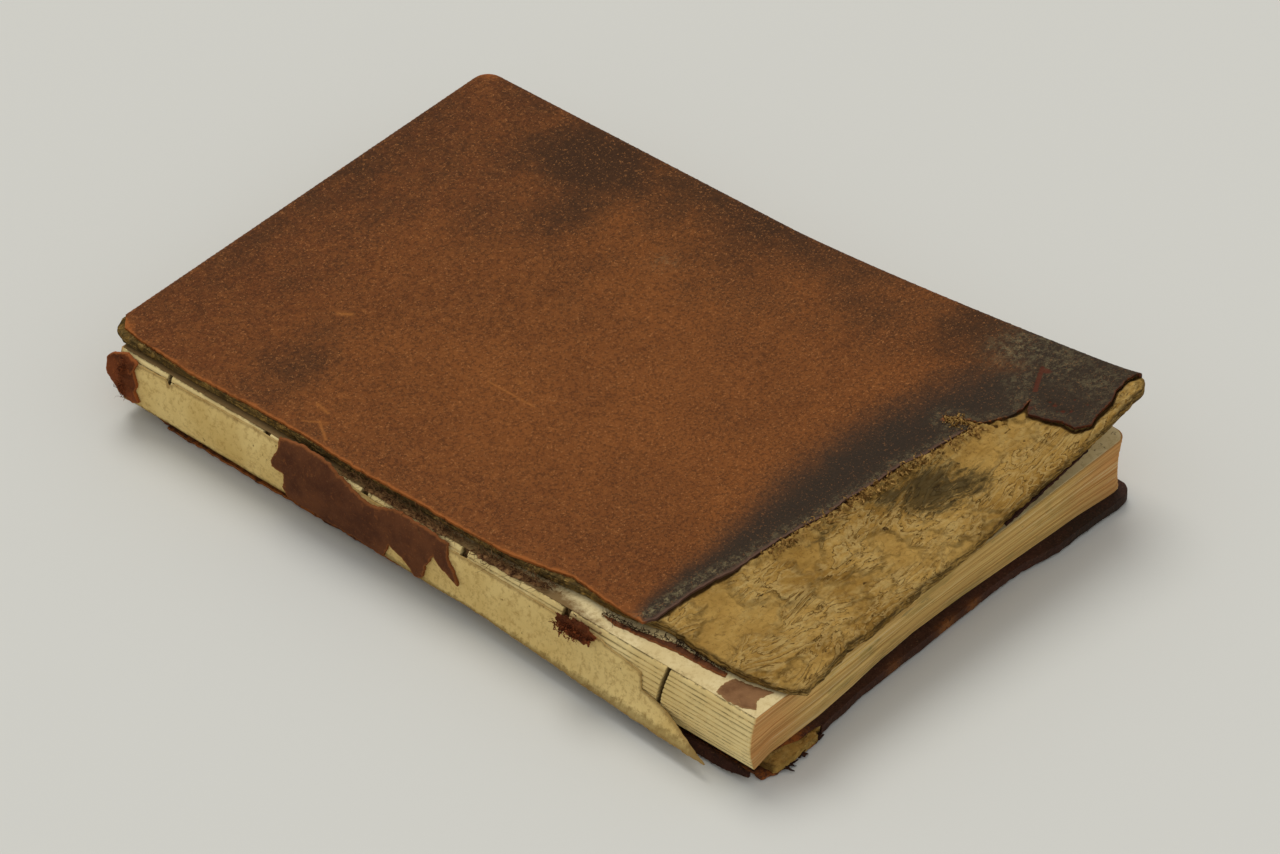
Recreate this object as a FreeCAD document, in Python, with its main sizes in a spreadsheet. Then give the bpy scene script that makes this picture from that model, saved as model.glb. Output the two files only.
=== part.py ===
import FreeCAD, Part
import Sketcher
import math
import os

# Worn leather-bound book lying closed on its back cover, in millimetres.
# Model frame: +X from the spine to the fore-edge, +Y from the tail to the head,
# +Z up. The origin is under the middle of the whole book, on the table.

Vector = FreeCAD.Vector

# Driving dimensions: alias, value, meaning.
DIMENSIONS = (
    ("page_width", 167.0, "pages, spine to fore-edge"),
    ("page_height", 250.0, "pages, tail to head"),
    ("pages_thick", 19.4, "all sewn sections together"),
    ("section_count", 12, "folded sections in the pages"),
    ("fold_depth", 0.5, "valley between two section folds"),
    ("spine_round", 2.0, "how far the spine stands out at its middle"),
    ("fore_hollow", 1.2, "how far the fore-edge is hollowed"),
    ("tail_lean", 5.0, "the foot of the leaning pages, behind their top at the tail"),
    ("page_corner", 4.5, "rounding of the pages' fore corners"),
    ("leaf_thick", 0.2, "flyleaf"),
    ("leaf_inset", 0.4, "flyleaf, behind the edge of the pages"),
    ("cover_width", 170.0, "cover, spine edge to fore-edge"),
    ("cover_height", 262.0, "cover, tail to head"),
    ("board_thick", 2.5, "pasteboard in each cover"),
    ("leather_thick", 0.8, "covering leather"),
    ("turn_in_thick", 0.3, "pared leather turned in under a board"),
    ("turn_in_width", 12.0, "leather turned in from each edge"),
    ("pastedown_thick", 0.2, "endpaper pasted inside a cover"),
    ("pastedown_margin", 8.0, "leather left showing round a pastedown"),
    ("cover_gap", 0.1, "air between a closed cover and its flyleaf"),
    ("cover_corner", 5.0, "rounding of the covers' fore corners"),
    ("front_left", 5.4, "front cover's tail corner, from the spine"),
    ("front_tail", -4.9, "front cover's tail corner, from the pages' tail"),
    ("front_skew", 0.9, "front cover turned on the pages, degrees"),
    ("corner_lift", 13.5, "rise of the warped tail fore corner"),
    ("warp_left", 15.0, "warp starts this far from the spine edge"),
    ("warp_reach", 137.0, "warp ends this far from the tail edge"),
    ("back_left", 1.4, "back cover's joint, from the spine"),
    ("back_tail", -2.4, "back cover's tail edge, from the pages' tail"),
    ("back_width", 167.0, "back cover, joint to fore-edge"),
    ("joint_width", 4.0, "bare joint between the spine and the back board"),
    ("lining_thick", 0.6, "paper glued over the section folds"),
    ("spine_leather", 0.9, "leather left on the spine"),
    ("glue_gap", 0.1, "glue between the layers on the spine"),
    ("peel_depth", 8.0, "how far the loose lining stands off at the tail"),
    ("peel_height", 7.9, "height of the loose part of the lining"),
    ("peel_reach", 150.0, "the lining is loose from the tail up to here"),
    ("cord_count", 4, "cords that the sections are sewn round"),
    ("cord_first", 71.0, "first cord, from the pages' tail"),
    ("cord_spacing", 39.6, "from one cord to the next"),
    ("cord_radius", 0.9, "sewing cord"),
    ("cord_clearance", 0.2, "air round a cord in its sawn slot"),
    ("kettle_tail", 32.0, "kettle stitch near the tail"),
    ("kettle_head", 229.0, "kettle stitch near the head"),
    ("kettle_width", 1.2, "sawn slot of a kettle stitch"),
    ("kettle_lean", 11.4, "the tail kettle slot leans with the pages, degrees"),
    ("joint_remains", 0.9, "cloth and leather left in the front joint"),
    ("tuft_thick", 2.2, "torn leather tuft on the spine"),
)

# Outline of the leather lost from the front cover. Each point is the share of
# the cover's width from the spine edge, and the distance from the tail edge.
TEAR_LINE = (
    (0.009, 52.9), (0.029, 51.0), (0.090, 50.7), (0.134, 50.1), (0.209, 48.0),
    (0.277, 46.9), (0.366, 44.6), (0.408, 42.6), (0.466, 41.8), (0.531, 40.1),
    (0.589, 39.1), (0.636, 36.3), (0.685, 34.5), (0.738, 32.4),
)
TONGUE_SLIT = ((0.724, 41.2), (0.733, 42.6), (0.744, 36.9), (0.755, 31.6))
SECOND_LOBE = ((0.789, 26.7), (0.819, 25.2), (0.845, 25.6))
CORNER_SLIT = (
    (0.873, 27.4), (0.900, 29.8), (0.928, 32.0), (0.929, 31.0), (0.902, 28.4),
    (0.876, 25.8), (0.850, 24.0),
)
CORNER_FLAP = (
    (0.824, 23.9), (0.815, 22.3), (0.819, 17.1), (0.826, 11.1), (0.822, 6.4),
    (0.846, 3.2), (0.870, 4.3), (0.915, 4.6), (0.938, 6.3), (0.972, 6.4),
    (0.996, 4.8),
)

# Edges of the front cover, worn by handling. Share along the edge, and how far
# the material has gone or stands proud there.
LEATHER_JOINT_EDGE = (
    (0.21, 2.0), (0.25, 2.3), (0.31, 4.0), (0.35, 1.5), (0.383, -0.4),
    (0.458, -0.8), (0.54, -0.4), (0.615, -0.8), (0.70, 0.6), (0.79, 0.3),
    (0.87, -0.2), (0.952, 1.3),
)
BOARD_JOINT_EDGE = (
    (0.015, 8.4), (0.065, 4.7), (0.125, 4.6), (0.18, 6.2), (0.235, 3.0),
    (0.29, 2.6), (0.365, 0.4), (0.40, 0.0), (0.975, 0.0),
)
BOARD_TAIL_EDGE = (
    (0.83, 0.8), (0.78, 1.3), (0.62, 1.8), (0.50, 1.6), (0.44, 2.0),
    (0.375, 2.8), (0.28, 2.6), (0.19, 3.8), (0.12, 2.4), (0.065, 0.6),
)

BACK_TAIL_EDGE = (
    (0.937, 0.0), (0.901, 0.4), (0.851, 0.7), (0.793, 0.7), (0.736, 2.4),
    (0.707, 3.4), (0.678, 3.6), (0.592, 3.5), (0.484, 3.2), (0.384, 3.1),
    (0.278, 3.0), (0.185, 1.8), (0.157, 1.2), (0.128, 0.0), (0.090, 0.5),
    (0.065, 0.3), (0.030, 0.0), (0.018, 0.6), (0.004, 1.8),
)

# Millimetres from the back board's own corner, and from the back cover's.
SWOLLEN_CORNER = (
    (0.4, 1.0), (-0.2, -0.5), (3.0, -1.1), (8.0, -1.3), (14.0, -1.0), (18.8, -1.0), (19.4, 1.0),
)
BARE_CORNER = (
    (-8.0, -8.0), (27.0, -8.0), (24.2, 1.9), (19.0, 1.9), (16.1, 2.4), (12.8, 3.7),
    (7.3, 3.2), (5.5, 4.5), (4.0, 6.0), (-8.0, 6.0),
)
LOST_HEAD_JOINT = (
    (-8.0, 26.0), (0.9, 26.0), (2.2, 20.0), (4.1, 16.0), (5.2, 3.0), (8.0, -8.0),
)

# How far the foot of the pages stands back at the tail: share of the page
# width, and share of the lean.
LEAN_LINE = (
    (-0.10, 0.05), (0.0, 0.12), (0.05, 0.4), (0.18, 0.4), (0.27, 0.6),
    (0.355, 0.86), (0.45, 1.0), (0.57, 0.94), (0.73, 0.68), (0.885, 0.42),
    (0.95, 0.2), (1.10, 0.0),
)

# Outlines on the spine: share of the page height from the tail, and share of
# the pages' thickness from below.
LINING_TOP = (
    (0.996, 0.87), (0.968, 0.90), (0.922, 0.94), (0.916, 0.86), (0.906, 0.94),
    (0.84, 0.965), (0.76, 0.985), (0.60, 0.95), (0.467, 0.892), (0.36, 0.88),
    (0.228, 0.871), (0.221, 0.835), (0.19, 0.79), (0.165, 0.73), (0.162, 0.438),
    (0.124, 0.314), (0.094, 0.165), (0.066, 0.06), (0.050, 0.012),
)
LINING_FOOT = (
    (0.08, 0.004), (0.13, 0.01), (0.227, 0.02), (0.29, 0.04), (0.43, 0.09),
    (0.49, 0.04), (0.56, 0.02), (0.73, 0.05), (0.89, 0.08), (0.978, 0.09),
    (0.996, 0.05),
)
SPINE_LEATHER = (
    (0.736, 1.098), (0.735, 0.907), (0.741, 0.69), (0.739, 0.603), (0.720, 0.567),
    (0.724, 0.30), (0.720, 0.088), (0.66, 0.05), (0.564, 0.067), (0.551, 0.39),
    (0.530, 0.30), (0.512, 0.06), (0.500, 0.12), (0.495, 0.376), (0.481, 0.68),
    (0.470, 0.552), (0.455, 0.47), (0.442, 0.381), (0.449, 0.60), (0.462, 0.79),
    (0.464, 0.979), (0.488, 1.021), (0.545, 1.031), (0.575, 0.93), (0.598, 0.902),
    (0.629, 1.010), (0.668, 1.139), (0.70, 1.16),
)
HEAD_CAP = (
    (0.984, 1.02), (1.006, 0.94), (1.014, 0.80), (1.012, 0.52), (1.000, 0.36),
    (0.990, 0.20), (0.975, 0.16), (0.962, 0.25), (0.968, 0.45), (0.962, 0.62),
    (0.970, 0.80), (0.966, 0.943),
)
TUFT = (
    (0.290, 1.00), (0.276, 1.06), (0.252, 1.08), (0.234, 1.02), (0.231, 0.93),
    (0.243, 0.86), (0.256, 0.72), (0.270, 0.70), (0.283, 0.77),
)

# Remains on the shoulder, under the front cover's torn joint: millimetres from
# the spine, and the share of the page height from the tail.
JOINT_CLOTH = (
    (-0.5, 0.600), (0.9, 0.604), (2.1, 0.590), (2.4, 0.566), (2.0, 0.540),
    (2.5, 0.515), (2.3, 0.480), (1.0, 0.470), (-0.4, 0.478), (0.0, 0.520),
    (-0.3, 0.545), (0.0, 0.575),
)
JOINT_FIBRES = (
    (-0.8, 0.420), (0.6, 0.428), (2.0, 0.420), (2.5, 0.395), (2.9, 0.360),
    (3.2, 0.330), (1.8, 0.325), (1.0, 0.350), (-0.4, 0.366), (-0.2, 0.392),
)
JOINT_STRIP = (
    (4.6, 0.248), (5.9, 0.200), (6.9, 0.184), (9.0, 0.150), (9.2, 0.075),
    (7.4, 0.071), (6.8, 0.090), (6.4, 0.140), (5.0, 0.180), (3.4, 0.224),
)
SHOULDER_SCRAP = (
    (1.2, 0.064), (6.0, 0.067), (9.0, 0.062), (9.7, 0.042), (10.9, 0.026),
    (11.8, 0.014), (9.5, 0.017), (6.0, 0.020), (3.0, 0.010), (0.9, 0.024),
    (0.4, 0.044),
)

# Millimetres from the front cover's joint edge, and below its head edge.
BOARD_HEAD_CORNER = ((6.0, 0.0), (1.8, 1.8))
LEATHER_HEAD_CORNER = ((8.0, 0.0), (5.5, 2.4), (2.6, 5.0))

# The front pastedown's edge along the worn joint: millimetres from the joint
# edge, and share of the cover's height.
PAPER_JOINT_EDGE = ((1.0, 0.42), (9.0, 0.30))

PAST = 8.0            # how far a cutting prism runs past what it cuts
SLOT_OPEN = 0.6       # how far a sawn slot starts outside the folds
CORD_INSET = 0.4      # a cord's outer side, behind the folds' tips
KETTLE_DEEP = 1.3     # kettle slot, past the middle of the folds' round
NUDGE = 0.01          # least distance that a sketch takes
TAIL_REMAINS = (0.59, 0.812)   # leather left under the tail edge, share of width
TAIL_REMAINS_RISE = 1.1       # how far it is turned up the board's edge
TAIL_REMAINS_OUT = 0.7
TAIL_REMAINS_TAPER = (2.0, 1.5)  # narrower at the turned-in end, left and right
WARP_GRID = 12
SPINE_GRID = (9, 9)
GLUE_LINE = 0.06              # between a pasted endpaper and its board
SCRAP_TAPER = 0.72            # outer outline of a torn tuft beside its base
RUBBED_CORNER = 2.5           # rubbed off the back board's head corner
JOINT_LIP = (16.0, 228.0)     # the back joint's leather stands up between these


def spreadsheet(doc):
    """The driving dimensions, one named cell each."""
    sheet = doc.addObject("Spreadsheet::Sheet", "Sizes")
    for row, (alias, value, meaning) in enumerate(DIMENSIONS, start=1):
        sheet.set("A%d" % row, meaning)
        sheet.set("B%d" % row, str(value))
        sheet.setAlias("B%d" % row, alias)
    for row, alias in enumerate(("origin_x", "origin_y"), start=len(DIMENSIONS) + 1):
        sheet.set("A%d" % row, "middle of the whole book, set once it is built")
        sheet.set("B%d" % row, "0")
        sheet.setAlias("B%d" % row, alias)
    return sheet


doc = FreeCAD.newDocument("leather_book")
sheet = spreadsheet(doc)
doc.recompute()


def size(alias):
    return float(sheet.get(alias))


page_width = size("page_width")
page_height = size("page_height")
pages_thick = size("pages_thick")
leaf_thick = size("leaf_thick")
cover_gap = size("cover_gap")
cover_width = size("cover_width")
cover_height = size("cover_height")
board_thick = size("board_thick")
leather_thick = size("leather_thick")
turn_in_thick = size("turn_in_thick")
turn_in_width = size("turn_in_width")
pastedown_thick = size("pastedown_thick")
lining_thick = size("lining_thick")
spine_leather = size("spine_leather")
glue_gap = size("glue_gap")
cord_radius = size("cord_radius")

# Heights of the stack above the table.
cover_thick = leather_thick + board_thick + turn_in_thick + pastedown_thick
pages_low = cover_thick + cover_gap + leaf_thick
pages_top = pages_low + pages_thick
shoulder_top = pages_top + leaf_thick
front_low = shoulder_top + cover_gap

# Heights inside a cover, measured from its paper face outwards.
turn_in_level = pastedown_thick
board_level = turn_in_level + turn_in_thick
leather_level = board_level + board_thick

# The same levels as expressions, for the sketches and pads.
COVER_THICK = ("(Sizes.leather_thick + Sizes.board_thick + Sizes.turn_in_thick"
               " + Sizes.pastedown_thick)")
PAGES_LOW = "(%s + Sizes.cover_gap + Sizes.leaf_thick)" % COVER_THICK


def loop(points):
    """Closed wire through points in order."""
    return Part.makePolygon(list(points) + [points[0]])


def prism_up(outline, low, high):
    """Upright prism over an outline in the XY plane."""
    wire = loop([Vector(x, y, low) for x, y in outline])
    return Part.Face(wire).extrude(Vector(0, 0, high - low))


def prism_across(outline, left, right):
    """Prism along X over an outline given as (y, z)."""
    wire = loop([Vector(left, y, z) for y, z in outline])
    return Part.Face(wire).extrude(Vector(right - left, 0, 0))


def arc(centre, radius, start, end, steps=6):
    """Points of a rounded corner, angles in degrees."""
    turn = [math.radians(start + (end - start) * i / steps) for i in range(steps + 1)]
    return [(centre[0] + radius * math.cos(a), centre[1] + radius * math.sin(a)) for a in turn]


def lift(across, along):
    """Rise of the warped front cover, greatest at the tail fore corner."""
    left = size("warp_left")
    reach = size("warp_reach")
    out = max(0.0, (across - left) / (cover_width - left))
    down = max(0.0, (reach - along) / reach)
    return size("corner_lift") * out ** 1.6 * down ** 1.35


def warp_face():
    """The warped cover's paper face as one smooth surface, past its edges."""
    rows = []
    for i in range(WARP_GRID + 1):
        across = -PAST + (cover_width + 2 * PAST) * i / WARP_GRID
        row = []
        for j in range(WARP_GRID + 1):
            along = -PAST + (cover_height + 2 * PAST) * j / WARP_GRID
            row.append(Vector(across, along, lift(across, along)))
        rows.append(row)
    surface = Part.BSplineSurface()
    surface.interpolate(rows)
    return surface.toShape()


WARP_FACE = warp_face()


def warped_layer(low, high, outline):
    """Layer of the front cover between two levels, inside an outline."""
    face = WARP_FACE.copy()
    face.translate(Vector(0, 0, low))
    slab = face.extrude(Vector(0, 0, high - low))
    reach = size("corner_lift") * 2 + PAST + high
    return slab.common(prism_up(outline, -PAST, reach))


def spine_curve(height):
    """X of the tips of the section folds at a height above the table."""
    middle = pages_low + pages_thick / 2
    share = min(1.3, abs(height - middle) / (pages_thick / 2))
    return -size("spine_round") * (1 - share ** 2)


def peel(along, height):
    """How far the loose lining stands off the spine."""
    reach = size("peel_reach")
    rise = max(0.0, 1 - (height - pages_low) / size("peel_height"))
    out = max(0.0, (reach - along) / reach)
    return size("peel_depth") * out ** 0.8 * rise ** 1.5


def spine_sheet(standoff, thick, outline):
    """Sheet that follows the rounded spine and its loose lining."""
    long_steps, high_steps = SPINE_GRID
    low = pages_low - 1.0
    high = pages_top + pages_thick * 0.2
    rows = []
    for i in range(long_steps + 1):
        along = -PAST + (page_height + 2 * PAST) * i / long_steps
        row = []
        for j in range(high_steps + 1):
            height = low + (high - low) * j / high_steps
            out = spine_curve(height) - standoff - peel(along, height)
            row.append(Vector(out, along, height))
        rows.append(row)
    surface = Part.BSplineSurface()
    surface.interpolate(rows)
    slab = surface.toShape().extrude(Vector(-thick, 0, 0))
    places = [(y * page_height, pages_low + z * pages_thick) for y, z in outline]
    across = size("peel_depth") + size("spine_round") + PAST
    return slab.common(prism_across(places, -across, PAST))


def scrap_on_shoulder(outline, thick):
    """Torn scrap lying flat on the shoulder of the pages."""
    places = [(x, y * page_height) for x, y in outline]
    return prism_up(places, shoulder_top, shoulder_top + thick)


PIECES = []


def add_shape(label, shape, place=None):
    """A sub-part whose form is set directly."""
    feature = doc.addObject("Part::Feature", label)
    feature.Label = label
    feature.Shape = shape
    feature.Placement = place or FreeCAD.Placement()
    PIECES.append(feature)
    return feature


def bind_place(body, left, tail, low):
    body.setExpression("Placement.Base.x", "%s - Sizes.origin_x" % left)
    body.setExpression("Placement.Base.y", "%s - Sizes.origin_y" % tail)
    body.setExpression("Placement.Base.z", low)


def origin_plane(body, role):
    return [item for item in body.Origin.OriginFeatures if item.Role == role][0]


def new_body(label):
    body = doc.addObject("PartDesign::Body", label)
    body.Label = label
    PIECES.append(body)
    return body


def sketch_on(body, role, name):
    sketch = body.newObject("Sketcher::SketchObject", name)
    sketch.AttachmentSupport = [(origin_plane(body, role), "")]
    sketch.MapMode = "FlatFace"
    return sketch


def rectangle(sketch, wide, high, start_x="0", start_y="0"):
    """Constrained rectangle whose sizes and start are bound to the sheet."""
    at = [Vector(1, 1, 0), Vector(9, 1, 0), Vector(9, 9, 0), Vector(1, 9, 0)]
    first = sketch.GeometryCount
    for i in range(4):
        sketch.addGeometry(Part.LineSegment(at[i], at[(i + 1) % 4]), False)
    bottom, right, top, left = range(first, first + 4)
    rules = [
        Sketcher.Constraint("Coincident", bottom, 2, right, 1),
        Sketcher.Constraint("Coincident", right, 2, top, 1),
        Sketcher.Constraint("Coincident", top, 2, left, 1),
        Sketcher.Constraint("Coincident", left, 2, bottom, 1),
        Sketcher.Constraint("Horizontal", bottom),
        Sketcher.Constraint("Horizontal", top),
        Sketcher.Constraint("Vertical", right),
        Sketcher.Constraint("Vertical", left),
    ]
    sketch.addConstraint(rules)
    sizes = (
        ("wide", "DistanceX", (bottom, 1, bottom, 2), wide),
        ("high", "DistanceY", (right, 1, right, 2), high),
        ("start_x", "DistanceX", (-1, 1, bottom, 1), start_x),
        ("start_y", "DistanceY", (-1, 1, bottom, 1), start_y),
    )
    for name, kind, ends, formula in sizes:
        index = sketch.addConstraint(Sketcher.Constraint(kind, *ends, 1.0))
        full_name = "%s_%d" % (name, first)
        sketch.renameConstraint(index, full_name)
        sketch.setExpression("Constraints.%s" % full_name, formula)


def upright_edges(shape, low_x):
    """Names of the upright edges beyond low_x, for rounding corners."""
    names = []
    for index, edge in enumerate(shape.Edges, start=1):
        box = edge.BoundBox
        if box.XLength < 0.01 and box.YLength < 0.01 and box.XMin > low_x:
            names.append("Edge%d" % index)
    return names


def plate(label, wide, high, thick, left, tail, low, corner=None):
    """Flat rectangular sheet or board, with rounded fore corners."""
    body = new_body(label)
    sketch = sketch_on(body, "XY_Plane", label + "_outline")
    rectangle(sketch, wide, high)
    pad = body.newObject("PartDesign::Pad", label + "_pad")
    pad.Profile = sketch
    pad.setExpression("Length", thick)
    doc.recompute()
    if corner:
        fillet = body.newObject("PartDesign::Fillet", label + "_corners")
        fillet.Base = (pad, upright_edges(pad.Shape, 1.0))
        fillet.setExpression("Radius", corner)
    bind_place(body, left, tail, low)
    doc.recompute()
    return body


def fold_profile(sketch):
    """Section folds on the spine side and the hollow of the fore-edge."""
    count = int(size("section_count"))
    depth = size("fold_depth")
    each = pages_thick / count
    valleys = [pages_low + each * i for i in range(count + 1)]
    for low, high in zip(valleys, valleys[1:]):
        middle = (low + high) / 2
        start = Vector(spine_curve(low) + depth, low, 0)
        tip = Vector(spine_curve(middle), middle, 0)
        end = Vector(spine_curve(high) + depth, high, 0)
        sketch.addGeometry(Part.Arc(start, tip, end), False)
    low_left = Vector(spine_curve(pages_low) + depth, pages_low, 0)
    low_right = Vector(page_width, pages_low, 0)
    hollow = Vector(page_width - size("fore_hollow"), (pages_low + pages_top) / 2, 0)
    top_right = Vector(page_width, pages_top, 0)
    top_left = Vector(spine_curve(pages_top) + depth, pages_top, 0)
    sketch.addGeometry(Part.LineSegment(low_left, low_right), False)
    sketch.addGeometry(Part.Arc(low_right, hollow, top_right), False)
    sketch.addGeometry(Part.LineSegment(top_right, top_left), False)


def lean_points(height):
    """Tail edge of the leaning pages at a height above the table."""
    back = size("tail_lean") * (pages_top - height) / pages_thick
    return [(across * page_width, share * back) for across, share in LEAN_LINE]


def lean_outline(sketch, height):
    """Sketch the area in front of the leaning tail edge at a height."""
    points = lean_points(height)
    points += [(points[-1][0], -PAST), (points[0][0], -PAST)]
    draw_loop(sketch, points)


def draw_loop(sketch, points):
    """Closed outline of straight lines in a sketch."""
    for here, there in zip(points, points[1:] + points[:1]):
        sketch.addGeometry(Part.LineSegment(Vector(*here, 0), Vector(*there, 0)), False)


def kettle_slot(body, place, lean):
    """Slot sawn for a kettle stitch, leaning as the sections lean."""
    sketch = sketch_on(body, "XY_Plane", place + "_slot")
    sketch.AttachmentOffset = FreeCAD.Placement(Vector(0, 0, -PAST), FreeCAD.Rotation(Vector(1, 0, 0), lean))
    sketch.setExpression("AttachmentOffset.Base.x", "-Sizes.spine_round - %g" % SLOT_OPEN)
    climb = pages_top + PAST
    start = "(Sizes.%s + %g * tan(%g)) * cos(%g)" % (place, climb, lean, lean)
    rectangle(sketch, "Sizes.spine_round + %g" % (SLOT_OPEN + KETTLE_DEEP), "Sizes.kettle_width", str(NUDGE), start)
    cut = body.newObject("PartDesign::Pocket", place + "_cut")
    cut.Profile = sketch
    cut.Type = "ThroughAll"
    cut.Reversed = True
    doc.recompute()


def text_block():
    """All the pages as one solid, with slots sawn across the folds."""
    body = new_body("text_block")
    profile = sketch_on(body, "XZ_Plane", "pages_profile")
    fold_profile(profile)
    pad = body.newObject("PartDesign::Pad", "pages_pad")
    pad.Profile = profile
    pad.Reversed = True
    pad.setExpression("Length", "Sizes.page_height")
    doc.recompute()
    solid = pad.Shape.Volume

    corner = sketch_on(body, "XY_Plane", "page_corners")
    radius = size("page_corner")
    far = page_width + 1.0
    for tail, centre_y, start in ((-1.0, radius, 270), (page_height + 1.0, page_height - radius, 0)):
        outline = arc((page_width - radius, centre_y), radius, start, start + 90)
        if start == 270:
            outline = outline + [(far, centre_y), (far, tail), (page_width - radius, tail)]
        else:
            outline = outline + [(page_width - radius, tail), (far, tail), (far, centre_y)]
        draw_loop(corner, outline)
    rounding = body.newObject("PartDesign::Pocket", "page_corner_cut")
    rounding.Profile = corner
    rounding.Type = "ThroughAll"
    rounding.Reversed = True

    heights = (pages_low - 1.0, pages_top + 1.0)
    edges = []
    for name, height in zip(("lean_foot", "lean_top"), heights):
        edge = sketch_on(body, "XY_Plane", name)
        edge.AttachmentOffset = FreeCAD.Placement(Vector(0, 0, height), FreeCAD.Rotation())
        lean_outline(edge, height)
        edges.append(edge)
    doc.recompute()
    lean = body.newObject("PartDesign::SubtractiveLoft", "tail_lean")
    lean.Profile = edges[0]
    lean.Sections = [edges[1]]
    lean.Ruled = True
    doc.recompute()

    slot = sketch_on(body, "XY_Plane", "cord_slot")
    deep = "2 * (Sizes.cord_radius + Sizes.cord_clearance)"
    long_slot = "Sizes.spine_round + %g + %s" % (SLOT_OPEN + CORD_INSET, deep)
    rectangle(slot, long_slot, deep, str(NUDGE), "Sizes.cord_first - %s / 2" % deep)
    slot.setExpression("AttachmentOffset.Base.x", "-Sizes.spine_round - %g" % SLOT_OPEN)
    cut = body.newObject("PartDesign::Pocket", "cord_slot_cut")
    cut.Profile = slot
    cut.Type = "ThroughAll"
    cut.Reversed = True
    doc.recompute()
    slots = body.newObject("PartDesign::LinearPattern", "cord_slots")
    slots.Originals = [cut]
    slots.Direction = (origin_plane(body, "Y_Axis"), [""])
    slots.setExpression("Length", "(Sizes.cord_count - 1) * Sizes.cord_spacing")
    slots.setExpression("Occurrences", "Sizes.cord_count")
    body.Tip = slots
    doc.recompute()

    kettle_slot(body, "kettle_tail", size("kettle_lean"))
    kettle_slot(body, "kettle_head", 0.0)
    bind_place(body, "0", "0", "0")
    doc.recompute()
    if not body.Shape.Volume < solid:
        raise RuntimeError("the slots in the pages cut nothing")


def sewing_cords():
    """Hemp cords that the sections are sewn round, in their sawn slots."""
    cords = []
    low = pages_low + cord_radius / 2
    tall = pages_thick - cord_radius
    deep = cord_radius + size("cord_clearance")
    for i in range(int(size("cord_count"))):
        along = size("cord_first") + size("cord_spacing") * i
        cords.append(Part.makeCylinder(cord_radius, tall, Vector(CORD_INSET + deep, along, low)))
    add_shape("sewing_cords", Part.makeCompound(cords))


def board_outline():
    """Front board, worn at its joint, tail and corners."""
    inner = leather_thick
    radius = size("cover_corner")
    head = cover_height - inner
    fore = cover_width - inner
    points = [(share * cover_width, lost) for share, lost in reversed(BOARD_TAIL_EDGE)]
    points += arc((fore - radius, radius + inner), radius, 270, 360)
    points += arc((fore - radius, head - radius), radius, 0, 90)
    points += [(across, head - lost) for across, lost in BOARD_HEAD_CORNER]
    points += [(lost, share * cover_height) for share, lost in reversed(BOARD_JOINT_EDGE)]
    return points


def lost_leather():
    """Outline of the area that the leather has been torn from."""
    points = [(-PAST, TEAR_LINE[0][1])]
    for line in (TEAR_LINE, TONGUE_SLIT, SECOND_LOBE, CORNER_SLIT, CORNER_FLAP):
        points += [(share * cover_width, along) for share, along in line]
    points += [(cover_width + PAST, CORNER_FLAP[-1][1]), (cover_width + PAST, -PAST), (-PAST, -PAST)]
    return points


def leather_outline():
    """Outer edge of the front leather: torn at the joint, turned in elsewhere."""
    radius = size("cover_corner") + leather_thick
    points = [(0.0, 0.0), (cover_width, 0.0)]
    points += arc((cover_width - radius, cover_height - radius), radius, 0, 90)
    points += [(across, cover_height - lost) for across, lost in LEATHER_HEAD_CORNER]
    points += [(lost, share * cover_height) for share, lost in reversed(LEATHER_JOINT_EDGE)]
    return points


def front_cover_shapes():
    """Board, leather, pastedown and tail remains of the front cover."""
    board = warped_layer(board_level, leather_level, board_outline())

    leather = warped_layer(turn_in_level, leather_level + leather_thick, leather_outline())
    inner = leather_thick
    radius = size("cover_corner")
    fore = cover_width - inner
    head = cover_height - inner
    hollow = [(-PAST, inner), (fore, inner)]
    hollow += arc((fore - radius, head - radius), radius, 0, 90)
    hollow += [(-PAST, head)]
    inside = [(-PAST, turn_in_width), (cover_width - turn_in_width, turn_in_width),
              (cover_width - turn_in_width, cover_height - turn_in_width),
              (-PAST, cover_height - turn_in_width)]
    leather = leather.cut(warped_layer(board_level, leather_level, hollow))
    leather = leather.cut(warped_layer(-1.0, board_level, inside))
    leather = leather.cut(prism_up(lost_leather(), -PAST, size("corner_lift") * 2 + PAST))

    margin = size("pastedown_margin")
    joint_edge = [(across, share * cover_height) for across, share in PAPER_JOINT_EDGE]
    paper_outline = [(joint_edge[-1][0], margin), (cover_width - margin, margin),
                     (cover_width - margin, cover_height - margin), (joint_edge[0][0], cover_height - margin)]
    paper_outline += joint_edge
    paper = warped_layer(0.0, board_level - GLUE_LINE, paper_outline)
    ring = warped_layer(turn_in_level, board_level + 1.0,
                        [(-PAST, -PAST), (cover_width + PAST, -PAST),
                         (cover_width + PAST, cover_height + PAST), (-PAST, cover_height + PAST)])
    keep = [(-PAST / 2, turn_in_width), (cover_width - turn_in_width, turn_in_width),
            (cover_width - turn_in_width, cover_height - turn_in_width),
            (-PAST / 2, cover_height - turn_in_width)]
    ring = ring.cut(prism_up(keep, -PAST, size("corner_lift") * 2 + PAST))
    paper = paper.cut(ring)

    left, right = [share * cover_width for share in TAIL_REMAINS]
    out = -TAIL_REMAINS_OUT
    taper_left, taper_right = TAIL_REMAINS_TAPER
    under = [(left, out), (right, out), (right - taper_right, turn_in_width), (left + taper_left, turn_in_width)]
    remains = warped_layer(turn_in_level, board_level + TAIL_REMAINS_RISE, under)
    skin = TAIL_REMAINS_OUT
    above = [(left - PAST, skin), (right + PAST, skin), (right + PAST, turn_in_width + PAST),
             (left - PAST, turn_in_width + PAST)]
    remains = remains.cut(warped_layer(board_level, board_level + PAST, above))
    return board, leather, paper, remains


def front_place():
    """Where the front cover's tail spine corner lies, and its skew."""
    turn = FreeCAD.Rotation(Vector(0, 0, 1), size("front_skew"))
    return FreeCAD.Placement(Vector(size("front_left"), size("front_tail"), front_low), turn)


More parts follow.
